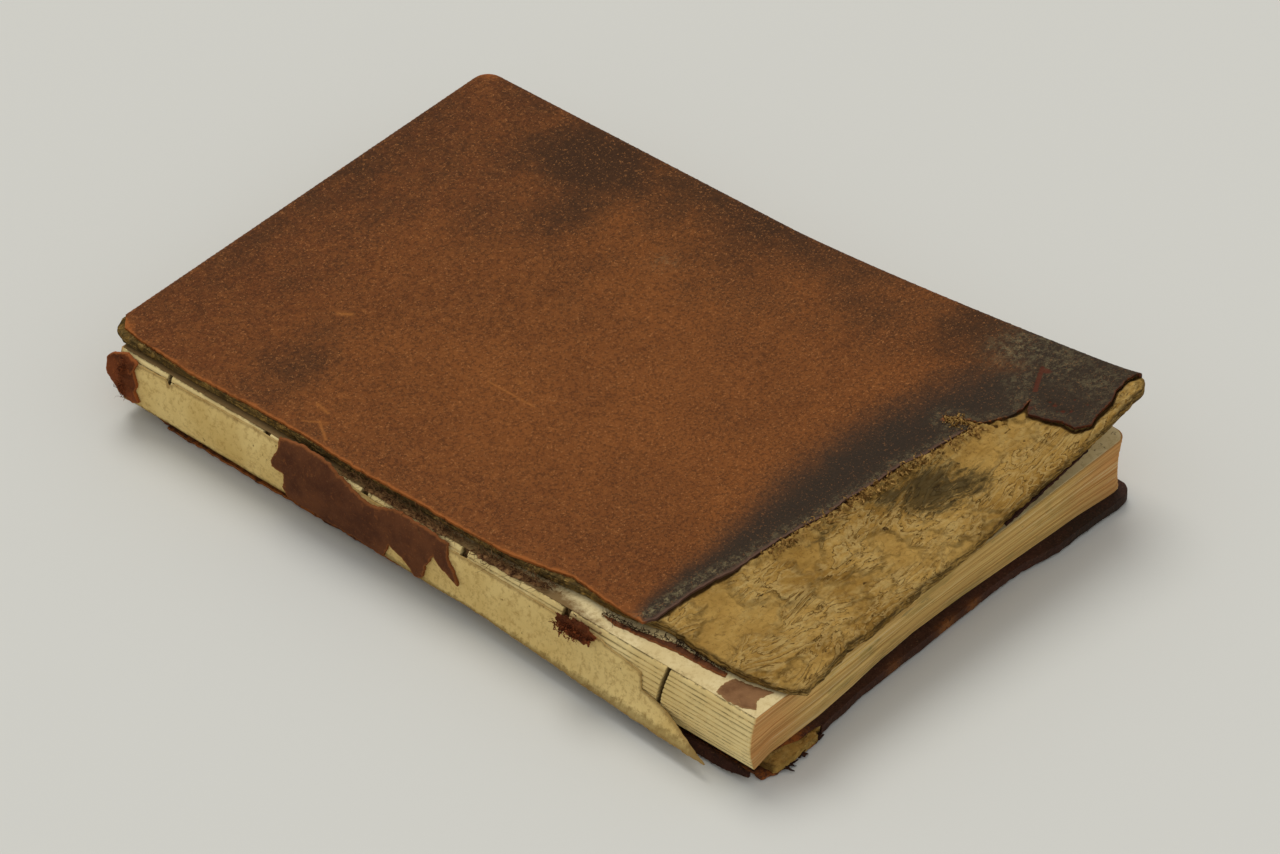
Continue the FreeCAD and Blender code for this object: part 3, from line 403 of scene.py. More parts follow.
def solid_sheet(flat, faces, top, under, place, wall=2, crumble=0.0, shift=0.0):
    """Closed mesh between two height arrays over 2D triangles, its wall in rows."""
    total = len(flat)
    edges = border(faces)
    rim = sorted({i for e in edges for i in e})
    where = {old: new for new, old in enumerate(rim)}
    out = np.zeros((total, 2))
    for a, b in edges:
        way = flat[b] - flat[a]
        side = np.array([way[1], -way[0]])
        out[a] += side
        out[b] += side
    out /= np.linalg.norm(out, axis=1)[:, None] + TINY
    verts = [np.column_stack([flat, top]), np.column_stack([flat, under])]
    rows = [list(rim)]
    base = 2 * total
    for k in range(1, wall):
        share = k / wall
        height = top[rim] * (1 - share) + under[rim] * share
        at = flat[rim].copy()
        if crumble:
            push = crumble * noise_at(np.column_stack([at, height * 3]), 1.6, 3, shift + k)
            at = at + out[rim] * push[:, None]
        verts.append(np.column_stack([at, height]))
        rows.append([base + i for i in range(len(rim))])
        base += len(rim)
    rows.append([total + i for i in rim])
    made = list(faces) + [tuple(total + i for i in reversed(f)) for f in faces]
    for upper, lower in zip(rows, rows[1:]):
        for a, b in edges:
            i, j = where[a], where[b]
            made.append((upper[i], lower[i], lower[j], upper[j]))
    every = np.vstack(verts)
    return place(every), made, every


def on_top(values, every, rest=0.0):
    """Values on a sheet's first face, and one value on its other face and its wall."""
    return np.concatenate([values, np.full(len(every) - len(values), rest)])


def both_faces(found, every, line):
    """Distances to a line: found already on both faces of a sheet, measured on its wall."""
    return np.concatenate([found, found, distance_to(every[2 * len(found):, :2], line)])


def piece(name, verts, faces, body, finish, replaces=(), marks=None, flip=False, smooth=True):
    """Mesh object from millimetres in the book's frame."""
    mesh = bpy.data.meshes.new(name)
    places = (np.asarray(verts, float) - ORIGIN) / MM_PER_M
    if flip:
        faces = [tuple(reversed(f)) for f in faces]
    mesh.from_pydata([tuple(p) for p in places], [], [tuple(int(i) for i in f) for f in faces])
    mesh.update()
    for key, values in (marks or {}).items():
        layer = mesh.attributes.new(key, "FLOAT", "POINT")
        layer.data.foreach_set("value", np.asarray(values, np.float32))
    if smooth:
        mesh.polygons.foreach_set("use_smooth", [True] * len(mesh.polygons))
        mesh.set_sharp_from_angle(angle=SHARP_ANGLE)
    mesh.materials.append(FINISHES[finish])
    made = bpy.data.objects.new(name, mesh)
    bpy.context.scene.collection.objects.link(made)
    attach(made, body)
    if replaces:
        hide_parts(*replaces)


THIRDS = (0.0, 2.094, 4.189)


def strands(roots, ways, lengths, width, seed, curl, sag, steps=6):
    """Thin torn fibres: three-sided tapering tubes that wander from their roots."""
    rng = np.random.default_rng(seed)
    verts, faces = [], []
    for root, way, length in zip(roots, ways, lengths):
        p = np.array(root, float)
        d = np.array(way, float)
        d /= np.linalg.norm(d) + TINY
        thick = width * rng.uniform(0.6, 1.5)
        start = len(verts)
        for k in range(steps + 1):
            side = np.cross(d, (0.3, 0.2, 1.0))
            side /= np.linalg.norm(side) + TINY
            other = np.cross(d, side)
            r = thick * (1 - FIBRE_TAPER * k / steps)
            for a in THIRDS:
                verts.append(p + r * (math.cos(a) * side + math.sin(a) * other))
            p = p + d * length / steps
            d = d + curl * rng.normal(size=3) - np.array((0, 0, sag))
            d /= np.linalg.norm(d)
        for k in range(steps):
            for s in range(3):
                a, b = start + 3 * k + s, start + 3 * k + (s + 1) % 3
                faces.append((a, b, b + 3, a + 3))
        end = start + 3 * steps
        faces.append((start + 2, start + 1, start))
        faces.append((end, end + 1, end + 2))
    return np.array(verts), faces


def join(parts):
    """Several (verts, faces) as one."""
    verts, faces, base = [], [], 0
    for v, f in parts:
        verts.append(v)
        faces += [tuple(i + base for i in face) for face in f]
        base += len(v)
    return np.vstack(verts), faces


def linear(colour):
    """Linear colour from 0-255 display values."""
    return tuple((c / 255 / 12.92) if c / 255 <= 0.04045 else ((c / 255 + 0.055) / 1.055) ** 2.4
                 for c in colour) + (1.0,)


class Socket:
    """A shader value that works in a Python expression."""

    def __init__(self, maker, socket):
        self.maker = maker
        self.socket = socket

    def _math(self, operation, *values):
        return self.maker.node("ShaderNodeMath", {"operation": operation}, dict(enumerate(values)))

    def __add__(self, other):
        return self._math("ADD", self, other)

    __radd__ = __add__

    def __sub__(self, other):
        return self._math("SUBTRACT", self, other)

    def __rsub__(self, other):
        return self._math("SUBTRACT", other, self)

    def __mul__(self, other):
        return self._math("MULTIPLY", self, other)

    __rmul__ = __mul__

    def clamp(self):
        return self.maker.node("ShaderNodeClamp", {}, {0: self})

    def most(self, other):
        return self._math("MAXIMUM", self, other)

    def fraction(self):
        return self._math("FRACT", self)

    def step(self, low, high):
        """Smooth 0 to 1 between two values."""
        return self.maker.node("ShaderNodeMapRange", {"interpolation_type": "SMOOTHSTEP"},
                               {0: self, 1: low, 2: high, 3: 0.0, 4: 1.0})


class Finish:
    """One procedural material."""

    def __init__(self, name, roughness=0.7, specular=0.3):
        self.material = bpy.data.materials.new(name)
        self.material.use_nodes = True
        self.nodes = self.material.node_tree.nodes
        self.links = self.material.node_tree.links
        self.shader = next(n for n in self.nodes if n.type == "BSDF_PRINCIPLED")
        self.shader.inputs["Roughness"].default_value = roughness
        self.shader.inputs["Specular IOR Level"].default_value = specular
        self.place = self.node("ShaderNodeTexCoord", {}, {}, "Object")
        self.colour = None

    def node(self, kind, settings, values, output=0):
        """One node: its type, its settings, and its sockets' values or links."""
        made = self.nodes.new(kind)
        for key, value in settings.items():
            setattr(made, key, value)
        for key, value in values.items():
            if isinstance(value, Socket):
                self.links.new(value.socket, made.inputs[key])
            else:
                made.inputs[key].default_value = value
        return Socket(self, made.outputs[output])

    def noise(self, size, detail=4.0, rough=0.6, stretch=None, shift=0.0, warp=0.0):
        """Noise with features of about size millimetres."""
        place = self.place
        if stretch or shift:
            moved = {"Vector": place, "Scale": stretch or (1, 1, 1), "Location": (shift, shift, shift)}
            place = self.node("ShaderNodeMapping", {}, moved)
        values = {"Vector": place, "Scale": MM_PER_M / size, "Detail": detail, "Roughness": rough,
                  "Distortion": warp}
        return self.node("ShaderNodeTexNoise", {}, values, "Fac")

    def cells(self, size):
        """Distance from the middles of cells of about size millimetres."""
        values = {"Vector": self.place, "Scale": MM_PER_M / size}
        return self.node("ShaderNodeTexVoronoi", {"feature": "F1"}, values, "Distance")

    def along(self, axis):
        """Place along an axis of the object, in millimetres."""
        return self.node("ShaderNodeSeparateXYZ", {}, {0: self.place}, axis) * MM_PER_M

    def mark(self, name):
        """A value that the mesh code gives each vertex."""
        return self.node("ShaderNodeAttribute", {"attribute_name": name}, {}, "Fac")

    def mix(self, factor, first, second):
        """From the first colour to the second."""
        values = {0: factor}
        for slot, colour in ((6, first), (7, second)):
            values[slot] = colour if isinstance(colour, Socket) else linear(colour)
        return self.node("ShaderNodeMix", {"data_type": "RGBA"}, values, 2)

    def coat(self, factor, colour):
        """Another colour over what there is."""
        self.colour = self.mix(factor, self.colour, colour)

    def bump(self, height, distance, strength, normal=None):
        """Relief of a depth in metres, over other relief."""
        values = {"Height": height, "Distance": distance, "Strength": strength}
        if normal is not None:
            values["Normal"] = normal
        return self.node("ShaderNodeBump", {}, values, "Normal")

    def finished(self, relief, rough=None):
        """Link the colour, the relief and the roughness to the shader."""
        for name, value in (("Base Color", self.colour), ("Normal", relief), ("Roughness", rough)):
            if value is not None:
                self.links.new(value.socket, self.shader.inputs[name])
        return self.material


def cover_leather(name, tone, dark):
    """Worn smooth calf: brown with fine dark and pale specks, scorched along the tear.

    The tones are two grounds, a light one, dark specks, pale specks and a flush at the
    joint and head. The dark ones are dusk and scorch.
    """
    f = Finish(name, 0.66, 0.06)
    broad = f.noise(38, 5, 0.6)
    patchy = f.noise(9, 5, 0.65, shift=3.1)
    grain = f.noise(1.0, 4, 0.8, shift=1.7)
    fine = f.noise(0.8, 3, 0.8, shift=5.3)
    f.colour = f.mix(broad.step(0.35, 0.68), tone[0], tone[1])
    f.coat(f.mark("flush"), tone[5])
    f.coat(patchy.step(0.45, 0.8) * 0.35, tone[2])
    f.coat(f.noise(3.2, 4, 0.7, shift=6.4).step(0.44, 0.62) * 0.35, tone[2])
    f.coat(grain.step(0.48, 0.57) * 0.55, tone[3])
    dusk = (f.mark("dusk") + (patchy - 0.5) * 0.9 + (broad - 0.5) * 0.5 + (grain - 0.5) * 0.5).step(0.0, 1.0)
    f.coat(dusk * 0.85, dark[0])
    scorch = (f.mark("scorch") + (patchy - 0.5) * 0.4 + (grain - 0.5) * 0.4).step(0.02, 0.95)
    f.coat(scorch * 0.96, dark[1])
    f.coat(fine.step(0.58, 0.65) * (1 - scorch * 0.6) * 0.6, tone[4])
    crumb = f.noise(2.2, 6, 0.8, shift=8.0).step(0.47, 0.62)
    # Pale bloom speckle; along the curled ridge by the tear it is also a painted highlight.
    bloom_dust_and_highlight = f.mark("bloom_and_ridge_highlight") * (crumb * 0.7 + f.noise(0.9, 3, 0.8, shift=9.0).step(0.50, 0.64) * 0.45)
    f.coat(bloom_dust_and_highlight.clamp() * 0.58, (158, 144, 104))
    scuff = f.mark("scratch") * f.noise(1.0, 3, 0.6, shift=4.0).step(0.30, 0.5)
    f.coat(scuff * 0.6, (166, 104, 48))
    rim = (f.mark("rim") + (grain - 0.5) * 0.7).step(0.35, 0.85)
    f.coat(rim * 0.7, (104, 76, 62))
    raw = (f.mark("raw") + (grain - 0.5) * 1.2 + (patchy - 0.5) * 1.4).step(0.40, 0.85)
    f.coat(raw * 0.8, (158, 92, 42))
    red = (f.mark("red") * 1.3 + (fine - 0.6)).step(0.35, 0.8)
    f.coat(red * 0.8, (84, 38, 21))
    relief = f.bump(grain, 0.00022, 0.8)
    relief = f.bump(f.cells(0.9), 0.00010, 0.5, relief)
    relief = f.bump(f.noise(4.5, 4, 0.6, shift=2.0), 0.0004, 0.5, relief)
    rough = 0.60 + grain * 0.16 - scorch * 0.10
    return f.finished(relief, rough)


def raw_pasteboard(name, base):
    """Delaminated pasteboard: tan, felted, torn into shallow steps along its layers."""
    f = Finish(name, 0.92, 0.04)
    felt = f.noise(1.3, 6, 0.8, warp=0.5)
    streak = f.noise(4.0, 6, 0.75, stretch=(0.55, 1.6, 1.0), shift=2.0, warp=1.2)
    broad = f.noise(17, 4, 0.6, shift=4.0)
    torn = f.noise(19, 3, 0.5, shift=9.0).step(0.43, 0.55)
    stairs = f.noise(17, 6, 0.6, stretch=(0.55, 1.3, 1.0), shift=5.0, warp=0.6) * 12
    part = stairs.fraction()
    # Painted shade at the foot of each torn step, and a painted highlight on its lip.
    foot = part.step(0.88, 0.98).most(1 - part.step(0.03, 0.10)) * torn
    lip_highlight = part.step(0.08, 0.16) * (1 - part.step(0.25, 0.6)) * torn
    f.colour = f.mix(broad.step(0.35, 0.7), base, (160, 120, 54))
    f.coat(streak.step(0.52, 0.68) * 0.4, (206, 172, 104))
    # Painted highlight on the lips of the steps and on the crumbs of the ridge by the tear.
    f.coat(lip_highlight * 0.45, (208, 180, 118))
    f.coat(f.mark("lip_highlight") * 0.4, (204, 176, 112))
    f.coat(felt.step(0.50, 0.36) * 0.55, (120, 86, 42))
    # Painted shade at the foot of each step.
    f.coat(foot * felt.step(0.36, 0.56) * 0.85, (74, 48, 22))
    # Painted shade in the creases, beside the torn leather and on the front board's underside; on the back
    # board, random dark blotches.
    dark_shade_and_blotch = (f.mark("crease_shade_and_blotch") + (felt - 0.5) * 0.9).step(0.35, 0.8)
    f.coat(dark_shade_and_blotch * 0.88, (66, 42, 20))
    stain = (f.mark("stain") + (streak - 0.5) * 1.5 + (felt - 0.5) * 1.1).step(0.25, 0.8)
    f.coat(stain * 0.85, (62, 52, 32))
    layers = f.noise(0.7, 3, 0.7, stretch=(0.12, 0.12, 1.0), shift=6.0)
    edge = (f.mark("rim") + (felt - 0.5) * 0.8).step(0.4, 0.95)
    f.coat(edge * layers.step(0.60, 0.42) * 0.85, (84, 64, 36))
    f.coat(edge * f.mark("soil") * streak.step(0.62, 0.40) * 0.75, (84, 72, 44))
    relief = f.bump(felt, 0.0010, 0.9)
    relief = f.bump(streak, 0.0012, 0.7, relief)
    relief = f.bump((stairs - part + part.step(0.0, 0.10)) * torn, 0.0006, 0.9, relief)
    relief = f.bump(layers * edge, 0.0006, 0.8, relief)
    return f.finished(relief)


def paper(name, base, shade, spots, relief_depth=0.00008, grime_and_shade_to=None):
    """Aged laid paper with foxing, and grime with painted shade below the board's edge up to a given number
    of millimetres along X.
    """
    f = Finish(name, 0.85, 0.06)
    broad = f.noise(24, 4, 0.6)
    fine = f.noise(2.0, 6, 0.8, shift=3.0)
    f.colour = f.mix(broad.step(0.35, 0.7), base, shade)
    f.coat(fine.step(0.48, 0.62) * 0.5, spots)
    f.coat((f.mark("foot") + (fine - 0.5) * 1.4).step(0.35, 0.9) * 0.6, (118, 98, 54))
    fox = f.noise(2.6, 3, 0.6, shift=7.0).step(0.68, 0.74)
    f.coat(fox * 0.75, (92, 62, 32))
    f.coat((f.mark("rim") + (fine - 0.5) * 0.8).step(0.3, 0.9) * 0.5, (120, 88, 48))
    if grime_and_shade_to is not None:
        # Grime and painted shade along the joint, under the edge of the front board, fading out towards the
        # tail.
        grime_and_shade = grime_and_shade_to - f.along("X") + (broad - 0.5) * 9.0 + (fine - 0.5) * 9.0
        grime_and_shade = grime_and_shade + (f.along("Y") + 62.0).step(-20.0, 20.0) * 9.0 - 9.0
        f.coat(grime_and_shade.step(-2.5, 3.5) * 0.9, (104, 76, 40))
    relief = f.bump(fine, relief_depth, 0.7)
    return f.finished(relief)


def page_edges(name):
    """Edges of the leaves, and the folds of the sections on the spine."""
    f = Finish(name, 0.88, 0.06)
    along = f.noise(30, 4, 0.6, stretch=(1.0, 1.0, 0.4), shift=1.0)
    leaf = f.noise(0.5, 3, 0.7, stretch=(0.004, 0.004, 1.0), shift=2.0)
    sheaf = f.noise(2.6, 3, 0.6, stretch=(0.01, 0.01, 1.0), shift=5.0)
    patch = f.noise(18, 5, 0.6, stretch=(1.0, 1.0, 2.0), shift=6.0)
    tint = f.noise(7, 4, 0.6, stretch=(1.0, 1.0, 2.5), shift=8.0)
    ends = f.mark("ends")
    cut = f.mix(leaf.step(0.34, 0.66), (182, 140, 74), (234, 200, 126))
    cut = f.mix((ends + (patch - 0.5) * 0.8).step(0.25, 1.0) * 0.5, cut, (188, 116, 72))
    green = patch.step(0.50, 0.66) * (1 - ends).clamp()
    cut = f.mix(green * 0.5, cut, (150, 136, 76))
    cut = f.mix(tint.step(0.62, 0.70) * (1 - ends).clamp() * 0.5, cut, (92, 104, 68))
    cut = f.mix(sheaf.step(0.60, 0.46) * 0.25, cut, (124, 88, 46))
    bright = f.noise(0.6, 2, 0.5, stretch=(0.012, 0.012, 1.0), shift=9.0).step(0.63, 0.68)
    cut = f.mix(bright * 0.55, cut, (220, 200, 152))
    fold = f.mix(along.step(0.35, 0.7), (242, 220, 158), (222, 194, 128))
    fold = f.mix(f.noise(1.5, 5, 0.8, stretch=(1.0, 0.3, 1.0), shift=4.0).step(0.54, 0.70) * 0.4, fold,
                 (156, 122, 72))
    # Painted shade: dark dashed lines in the valleys between the section folds, and dark in the sawn slots.
    dash = f.noise(5.5, 5, 0.85, stretch=(1.0, 0.7, 1.0), shift=3.0).step(0.44, 0.56)
    line = (f.mark("crease_shade_and_blotch") * (0.05 + dash * 0.95) * 1.15).most(f.mark("sawn")).clamp()
    fold = f.mix(line * 0.93, fold, (66, 44, 18))
    f.colour = f.mix(f.mark("fold"), cut, fold)
    relief = f.bump(leaf, 0.00024, 0.8)
    relief = f.bump(f.noise(2.0, 4, 0.6), 0.00015, 0.4, relief)
    return f.finished(relief)


def torn_leather(name, base, raw, dark):
    """Red-rotted leather: powdery, flaking, its flesh side showing at the edges."""
    f = Finish(name, 0.82, 0.07)
    flake = f.noise(1.6, 5, 0.7, warp=0.5)
    broad = f.noise(9, 4, 0.6, shift=3.0)
    fine = f.noise(0.5, 3, 0.7, shift=5.0)
    f.colour = f.mix(broad.step(0.35, 0.7), base, dark)
    f.coat(flake.step(0.55, 0.72) * 0.6, raw)
    f.coat(fine.step(0.58, 0.7) * 0.3, (150, 110, 70))
    f.coat((f.mark("rim") + (flake - 0.5)).step(0.5, 0.95) * 0.6, raw)
    relief = f.bump(flake, 0.0005, 0.9)
    relief = f.bump(fine, 0.0002, 0.7, relief)
    return f.finished(relief)


def thread(name, base, other):
    """Loose fibres and frayed cloth."""
    f = Finish(name, 0.9, 0.05)
    tone = f.noise(1.4, 3, 0.6)
    f.colour = f.mix(tone.step(0.38, 0.62), base, other)
    return f.finished(f.bump(f.noise(0.4, 2, 0.5), 0.0001, 0.5))


def shown(colour):
    """0-255 display values of a colour property."""
    return tuple(255 * c for c in colour)


def materials(sizes):
    """The finishes, made once."""
    front = (shown(sizes.leather_colour), (110, 63, 27), (138, 83, 38), (64, 36, 16), (172, 114, 64),
             (98, 54, 26))
    back = ((72, 46, 36), (62, 40, 31), (84, 52, 38), (44, 28, 22), (106, 78, 58), (60, 36, 28))
    grime_and_shade_line = 7.0 - ORIGIN[0]
    return {
        "front_leather": cover_leather("brown_calf", front, ((50, 34, 20), (44, 36, 26))),
        "back_leather": cover_leather("dark_calf", back, ((46, 32, 27), (38, 36, 30))),
        "board": raw_pasteboard("raw_pasteboard", shown(sizes.board_colour)),
        "pages": page_edges("page_edges"),
        "endpaper": paper("endpaper", (222, 206, 162), (204, 184, 134), (184, 158, 106)),
        # The front flyleaf: grime and painted shade along the joint.
        "shoulder": paper("soiled_shaded_endpaper", (226, 208, 160), (208, 186, 134), (184, 158, 106),
                          grime_and_shade_to=grime_and_shade_line),
        "lining": paper("spine_lining_paper", shown(sizes.lining_colour), (208, 176, 106), (164, 128, 68),
                        0.0002),
        "rust": torn_leather("red_rotted_leather", (120, 62, 32), (170, 98, 50), (72, 38, 20)),
        "spine": torn_leather("spine_calf", (104, 62, 37), (146, 88, 46), (80, 46, 29)),
        "dark_rust": torn_leather("dark_turn_in", (62, 36, 26), (96, 54, 34), (40, 24, 18)),
        "scrap": torn_leather("pink_flesh_side", (140, 102, 68), (156, 118, 74), (104, 70, 44)),
        "cloth": thread("frayed_cloth", (132, 98, 62), (72, 46, 28)),
        "pulp": thread("pasteboard_fibres", (186, 148, 84), (104, 72, 34)),
        "red_fibre": thread("leather_fibres", (120, 62, 32), (70, 34, 20)),
        "dark_fibre": thread("dark_leather_fibres", (58, 38, 28), (36, 24, 18)),
        "cord": thread("hemp_cord", (120, 94, 60), (84, 62, 38)),
    }


FINISHES = {}


def arc(centre, radius, start, end, steps=10):
    """Points on an arc, from one angle to another in degrees."""
    turn = [math.radians(start + (end - start) * i / steps) for i in range(steps + 1)]
    return [(centre[0] + radius * math.cos(a), centre[1] + radius * math.sin(a)) for a in turn]


def gauss(points, patches):
    """Strongest of several soft elliptical patches at each point."""
    total = np.zeros(len(points))
    for u, v, ru, rv, strength in patches:
        far = ((points[:, 0] - u) / ru) ** 2 + ((points[:, 1] - v) / rv) ** 2
        total = np.maximum(total, strength * np.exp(-far))
    return total


def strongest(*values):
    """Largest of several values at each point."""
    return np.maximum.reduce(values)


def fade(values, near, far):
    """1 up to near, 0 from far on, smooth between."""
    t = np.clip((far - values) / (far - near), 0, 1)
    return t * t * (3 - 2 * t)


def front_tear():
    """The torn tail edge of the front leather, from the joint to the fore-edge."""
    points = []
    for line in (TEAR_LINE, TONGUE_SLIT, SECOND_LOBE, CORNER_FLAP):
        points += [(share * COVER_WIDTH, along) for share, along in line]
    return points


def corner_slit():
    """Middle line of the shallow tear that runs up from the corner flap."""
    count = len(CORNER_SLIT) // 2
    return [(share * COVER_WIDTH, along) for share, along in CORNER_SLIT[:count]]


def insets(line, depths):
    """Rows of points inside a line whose left side is the leather."""
    line = np.asarray(line, float)
    along = np.gradient(line, axis=0)
    along /= np.linalg.norm(along, axis=1)[:, None] + TINY
    inward = np.column_stack([-along[:, 1], along[:, 0]])
    return np.vstack([line + inward * d for d in depths])


def rolled(distance, radius):
    """How far the top of a turned edge drops below the flat."""
    near = np.clip(radius - distance, 0, radius)
    return radius - np.sqrt(radius ** 2 - near ** 2)


def leather_turned_edge():
    """Edge of the front leather that is turned over the board: fore-edge and head."""
    radius = CORNER + LEATHER_THICK
    turned = [(COVER_WIDTH, 4.8)]
    turned += arc((COVER_WIDTH - radius, COVER_HEIGHT - radius), radius, 0, 90)
    return turned + [(8.0, COVER_HEIGHT)]


def leather_joint_edge():
    """Worn edge of the front leather along the joint, from the head down."""
    joint = [(5.5, COVER_HEIGHT - 2.4), (2.6, COVER_HEIGHT - 5.0)]
    return joint + [(lost, share * COVER_HEIGHT) for share, lost in reversed(LEATHER_JOINT_EDGE)]


def leather_edge():
    """The whole edge of the front leather."""
    return front_tear() + leather_turned_edge() + leather_joint_edge()


def front_leather_top(flat, to_turned, to_tear, to_joint):
    """Height of the front leather's outer face, how far it is raised, and its pits."""
    u, v = flat.T
    cockle = 0.16 * noise_at(flat, 42, 3, 1.0) + 0.05 * noise_at(flat, 9, 3, 4.0)
    curl = 0.45 * np.exp(-to_tear / 2.2) * (0.5 + noise_at(flat, 14, 2, 8.0))
    curl += 0.3 * np.exp(-to_joint / 1.6) * (0.2 + noise_at(flat, 10, 2, 6.0))
    flap = np.where(u > FLAP_FROM, 0.9 * fade(v, 3, 26) * np.exp(-to_tear / 7.0), 0)
    raise_by = (cockle + curl) * np.clip(to_turned / 4.0, 0, 1) + flap
    pit = gauss(flat, [(across, along, r, r, 1.0) for across, along, r in PITS])
    top = OUTER_LEVEL + raise_by - rolled(to_turned, 1.7) - 0.65 * pit
    top += 0.03 * noise_at(flat, 2.2, 2, 3.0)
    slit = distance_to(flat, dense(corner_slit(), 0.3))
    return top - 0.45 * np.exp(-(slit / 1.1) ** 2), raise_by, pit


def front_leather_marks(at, far_tear, far_joint, pits):
    """What varies over the front leather: scorch, bloom with a painted highlight along the curled ridge by
    the tear, wear and raw edges.
    """
    u, v = at.T
    width = np.interp(u, (0, 12, 40, 80, 115, 140, 170), (5, 9, 15, 25, 28, 28, 28))
    below = np.interp(u, (0, 40, 100, 140, 170), (53, 47, 40, 28, 10))
    corner = np.clip((u - 136) / 24, 0, 1) * fade(v, 34, 66)
    scorch = np.maximum(fade(v - below, width * 0.2, width * 1.45), corner)
    # Pale band along the curled ridge by the tear: bloom, and a painted highlight on the ridge.
    along_edge = np.interp(u, (0, 5, 24, 50, 90, 125, 135), (0, 1.0, 1.0, 0.55, 0.5, 0.45, 0.3))
    from_edge = np.interp(u, (0, 30, 60), (3.4, 3.0, 2.0))
    bloom_and_ridge_highlight = np.exp(-((far_tear - from_edge) / 1.8) ** 2) * along_edge
    scratch = np.zeros(len(at))
    for a, b, wide in SCRATCHES:
        scratch = np.maximum(scratch, np.exp(-(distance_to(at, dense((a, b), 0.2)) / wide) ** 2))
    lobes = u > LOBES_FROM
    frayed = 1.1 + 0.9 * noise_at(at, 12, 2, 12.0)
    slits = distance_to(at, dense(corner_slit(), 0.3))
    return {
        "dusk": gauss(at, DUSK_PATCHES),
        "scorch": scorch,
        "bloom_and_ridge_highlight": np.maximum(bloom_and_ridge_highlight, gauss(at, BLOOM_PATCHES)),
        "scratch": scratch,
        "raw": strongest(np.exp(-far_joint / np.clip(frayed, 0.4, 2.4)),
                         0.62 * np.exp(-far_tear / 0.6) * lobes, gauss(at, RAW_PATCHES),
                         0.62 * np.exp(-((COVER_HEIGHT - v) / 1.4)),
                         0.3 * np.exp(-((COVER_WIDTH - u) / 1.0))),
        "red": strongest(gauss(at, RED_PATCHES), pits, np.exp(-(slits / 0.9) ** 2),
                         0.7 * np.exp(-far_tear / 0.8) * (u > FLAP_FROM)),
        "rim": np.exp(-far_tear / 1.3) * (1 - lobes),
        "flush": np.maximum(0.35 * fade(u, 0, 52), 0.7 * fade(COVER_HEIGHT - v, 5, 95)),
    }


def front_turn_in():
    """Leather turned in under the front board, at the fore-edge and the head."""
    radius = CORNER + LEATHER_THICK
    fore, head = COVER_WIDTH - TURN_IN_WIDTH, COVER_HEIGHT - TURN_IN_WIDTH
    outline = [(fore, 5.6), (COVER_WIDTH - 0.4, 5.6)]
    outline += arc((COVER_WIDTH - radius, COVER_HEIGHT - radius), radius - 0.4, 0, 90)
    outline += [(8.0, COVER_HEIGHT - 0.4), (9.0, head), (fore, head)]
    flat, faces = triangles(resample(outline, 3.0), 4.0, 5)
    level = np.full(len(flat), BOARD_LEVEL)
    return solid_sheet(flat, faces, level, level - 0.3, on_front, wall=1)[:2]


def front_leather_piece(sizes):
    """Torn calf of the front cover, with its turn-ins."""
    torn, turned, joint = front_tear(), leather_turned_edge(), leather_joint_edge()
    outline = ragged(torn + turned + joint, 0.8, 0.42, 3.0, hold(turned))
    finer = [((136.0, 2.0), (169.0, 34.0), 0.7), ((51.0, 138.0), (57.0, 160.0), 0.4),
             ((46.0, 208.0), (54.0, 215.0), 0.4), ((0.5, 174.0), (15.0, 191.0), 0.4)]
    extra = insets(dense(turned, 1.2), TURNED_INSETS)
    flat, faces = triangles(outline, sizes.leather_step, 2, finer, extra)
    turned_line, tear_line, joint_line = [dense(line, 0.5) for line in (turned, torn, joint + [torn[0]])]
    to_turned, to_tear, to_joint = [distance_to(flat, line) for line in (turned_line, tear_line, joint_line)]
    top, raise_by, pit = front_leather_top(flat, to_turned, to_tear, to_joint)
    raised_under = LEATHER_LEVEL + np.minimum(raise_by, top - OUTER_LEVEL + 0.2)
    under = np.where(to_turned < EDGE_BAND, TURN_IN_LEVEL, raised_under)
    verts, made, every = solid_sheet(flat, faces, top, under, on_front, wall=3, crumble=0.12)
    far_tear, far_joint = both_faces(to_tear, every, tear_line), both_faces(to_joint, every, joint_line)
    pits = on_top(np.concatenate([pit, pit]), every)
    marks = front_leather_marks(every[:, :2], far_tear, far_joint, pits)
    verts, made = join([(verts, made), front_turn_in()])
    marks = {key: on_top(values, verts) for key, values in marks.items()}
    piece("front_calf", verts, made, "front_cover", "front_leather",
          ("front_cover_leather",), marks)


def board_relief(flat):
    """Torn board: height above its level, painted shade in the creases at the foot of each step, and a
    painted highlight on the torn lips.
    """
    u, v = flat.T
    bent = flat + 3.5 * np.column_stack([noise_at(flat, 14, 4, 30.0), noise_at(flat, 14, 4, 40.0)])
    long_way = np.column_stack([bent[:, 0] / 2.6, bent[:, 1]])
    stairs = 2.0 * noise_at(long_way, 13, 5, 2.0) + 1.5 * noise_at(bent, 36, 3, 5.0)
    part = stairs - np.floor(stairs)
    torn = fade(-noise_at(flat, 24, 3, 7.0), -0.15, 0.2)
    step = 0.06 + 0.30 * torn
    terrace = step * (np.floor(stairs) + np.clip(part / 0.12, 0, 1))
    # Painted shade at the foot of each step, and a painted highlight on the lip just above it.
    crease_shade_and_blotch = np.clip(1 - part / 0.16, 0, 1) * torn * (0.55 + 0.9 * noise_at(flat, 3, 2, 21.0))
    lip_highlight = np.exp(-((part - 0.30) / 0.14) ** 2) * torn
    fibrous = noise_at(np.column_stack([u * 0.4 + 0.3 * v, v * 1.3]), 2.6, 5, 11.0)
    fluff = 0.12 * noise_at(flat, 1.8, 4, 9.0) + 0.26 * fibrous + 0.22 * noise_at(flat, 9, 4, 13.0)
    wear = -0.9 * np.exp(-(((u - 14) / 16) ** 2 + ((v - 6) / 7) ** 2))
    fold = 0.8 * np.exp(-((v - 6 - 2.5 * noise_at(flat, 20, 3, 17.0)) / 1.7) ** 2)
    fold = fold * fade(np.abs(u - 62), 26, 44)
    return np.clip(terrace + fluff + wear + fold, -1.3, 0.75), np.clip(crease_shade_and_blotch, 0, 1), lip_highlight


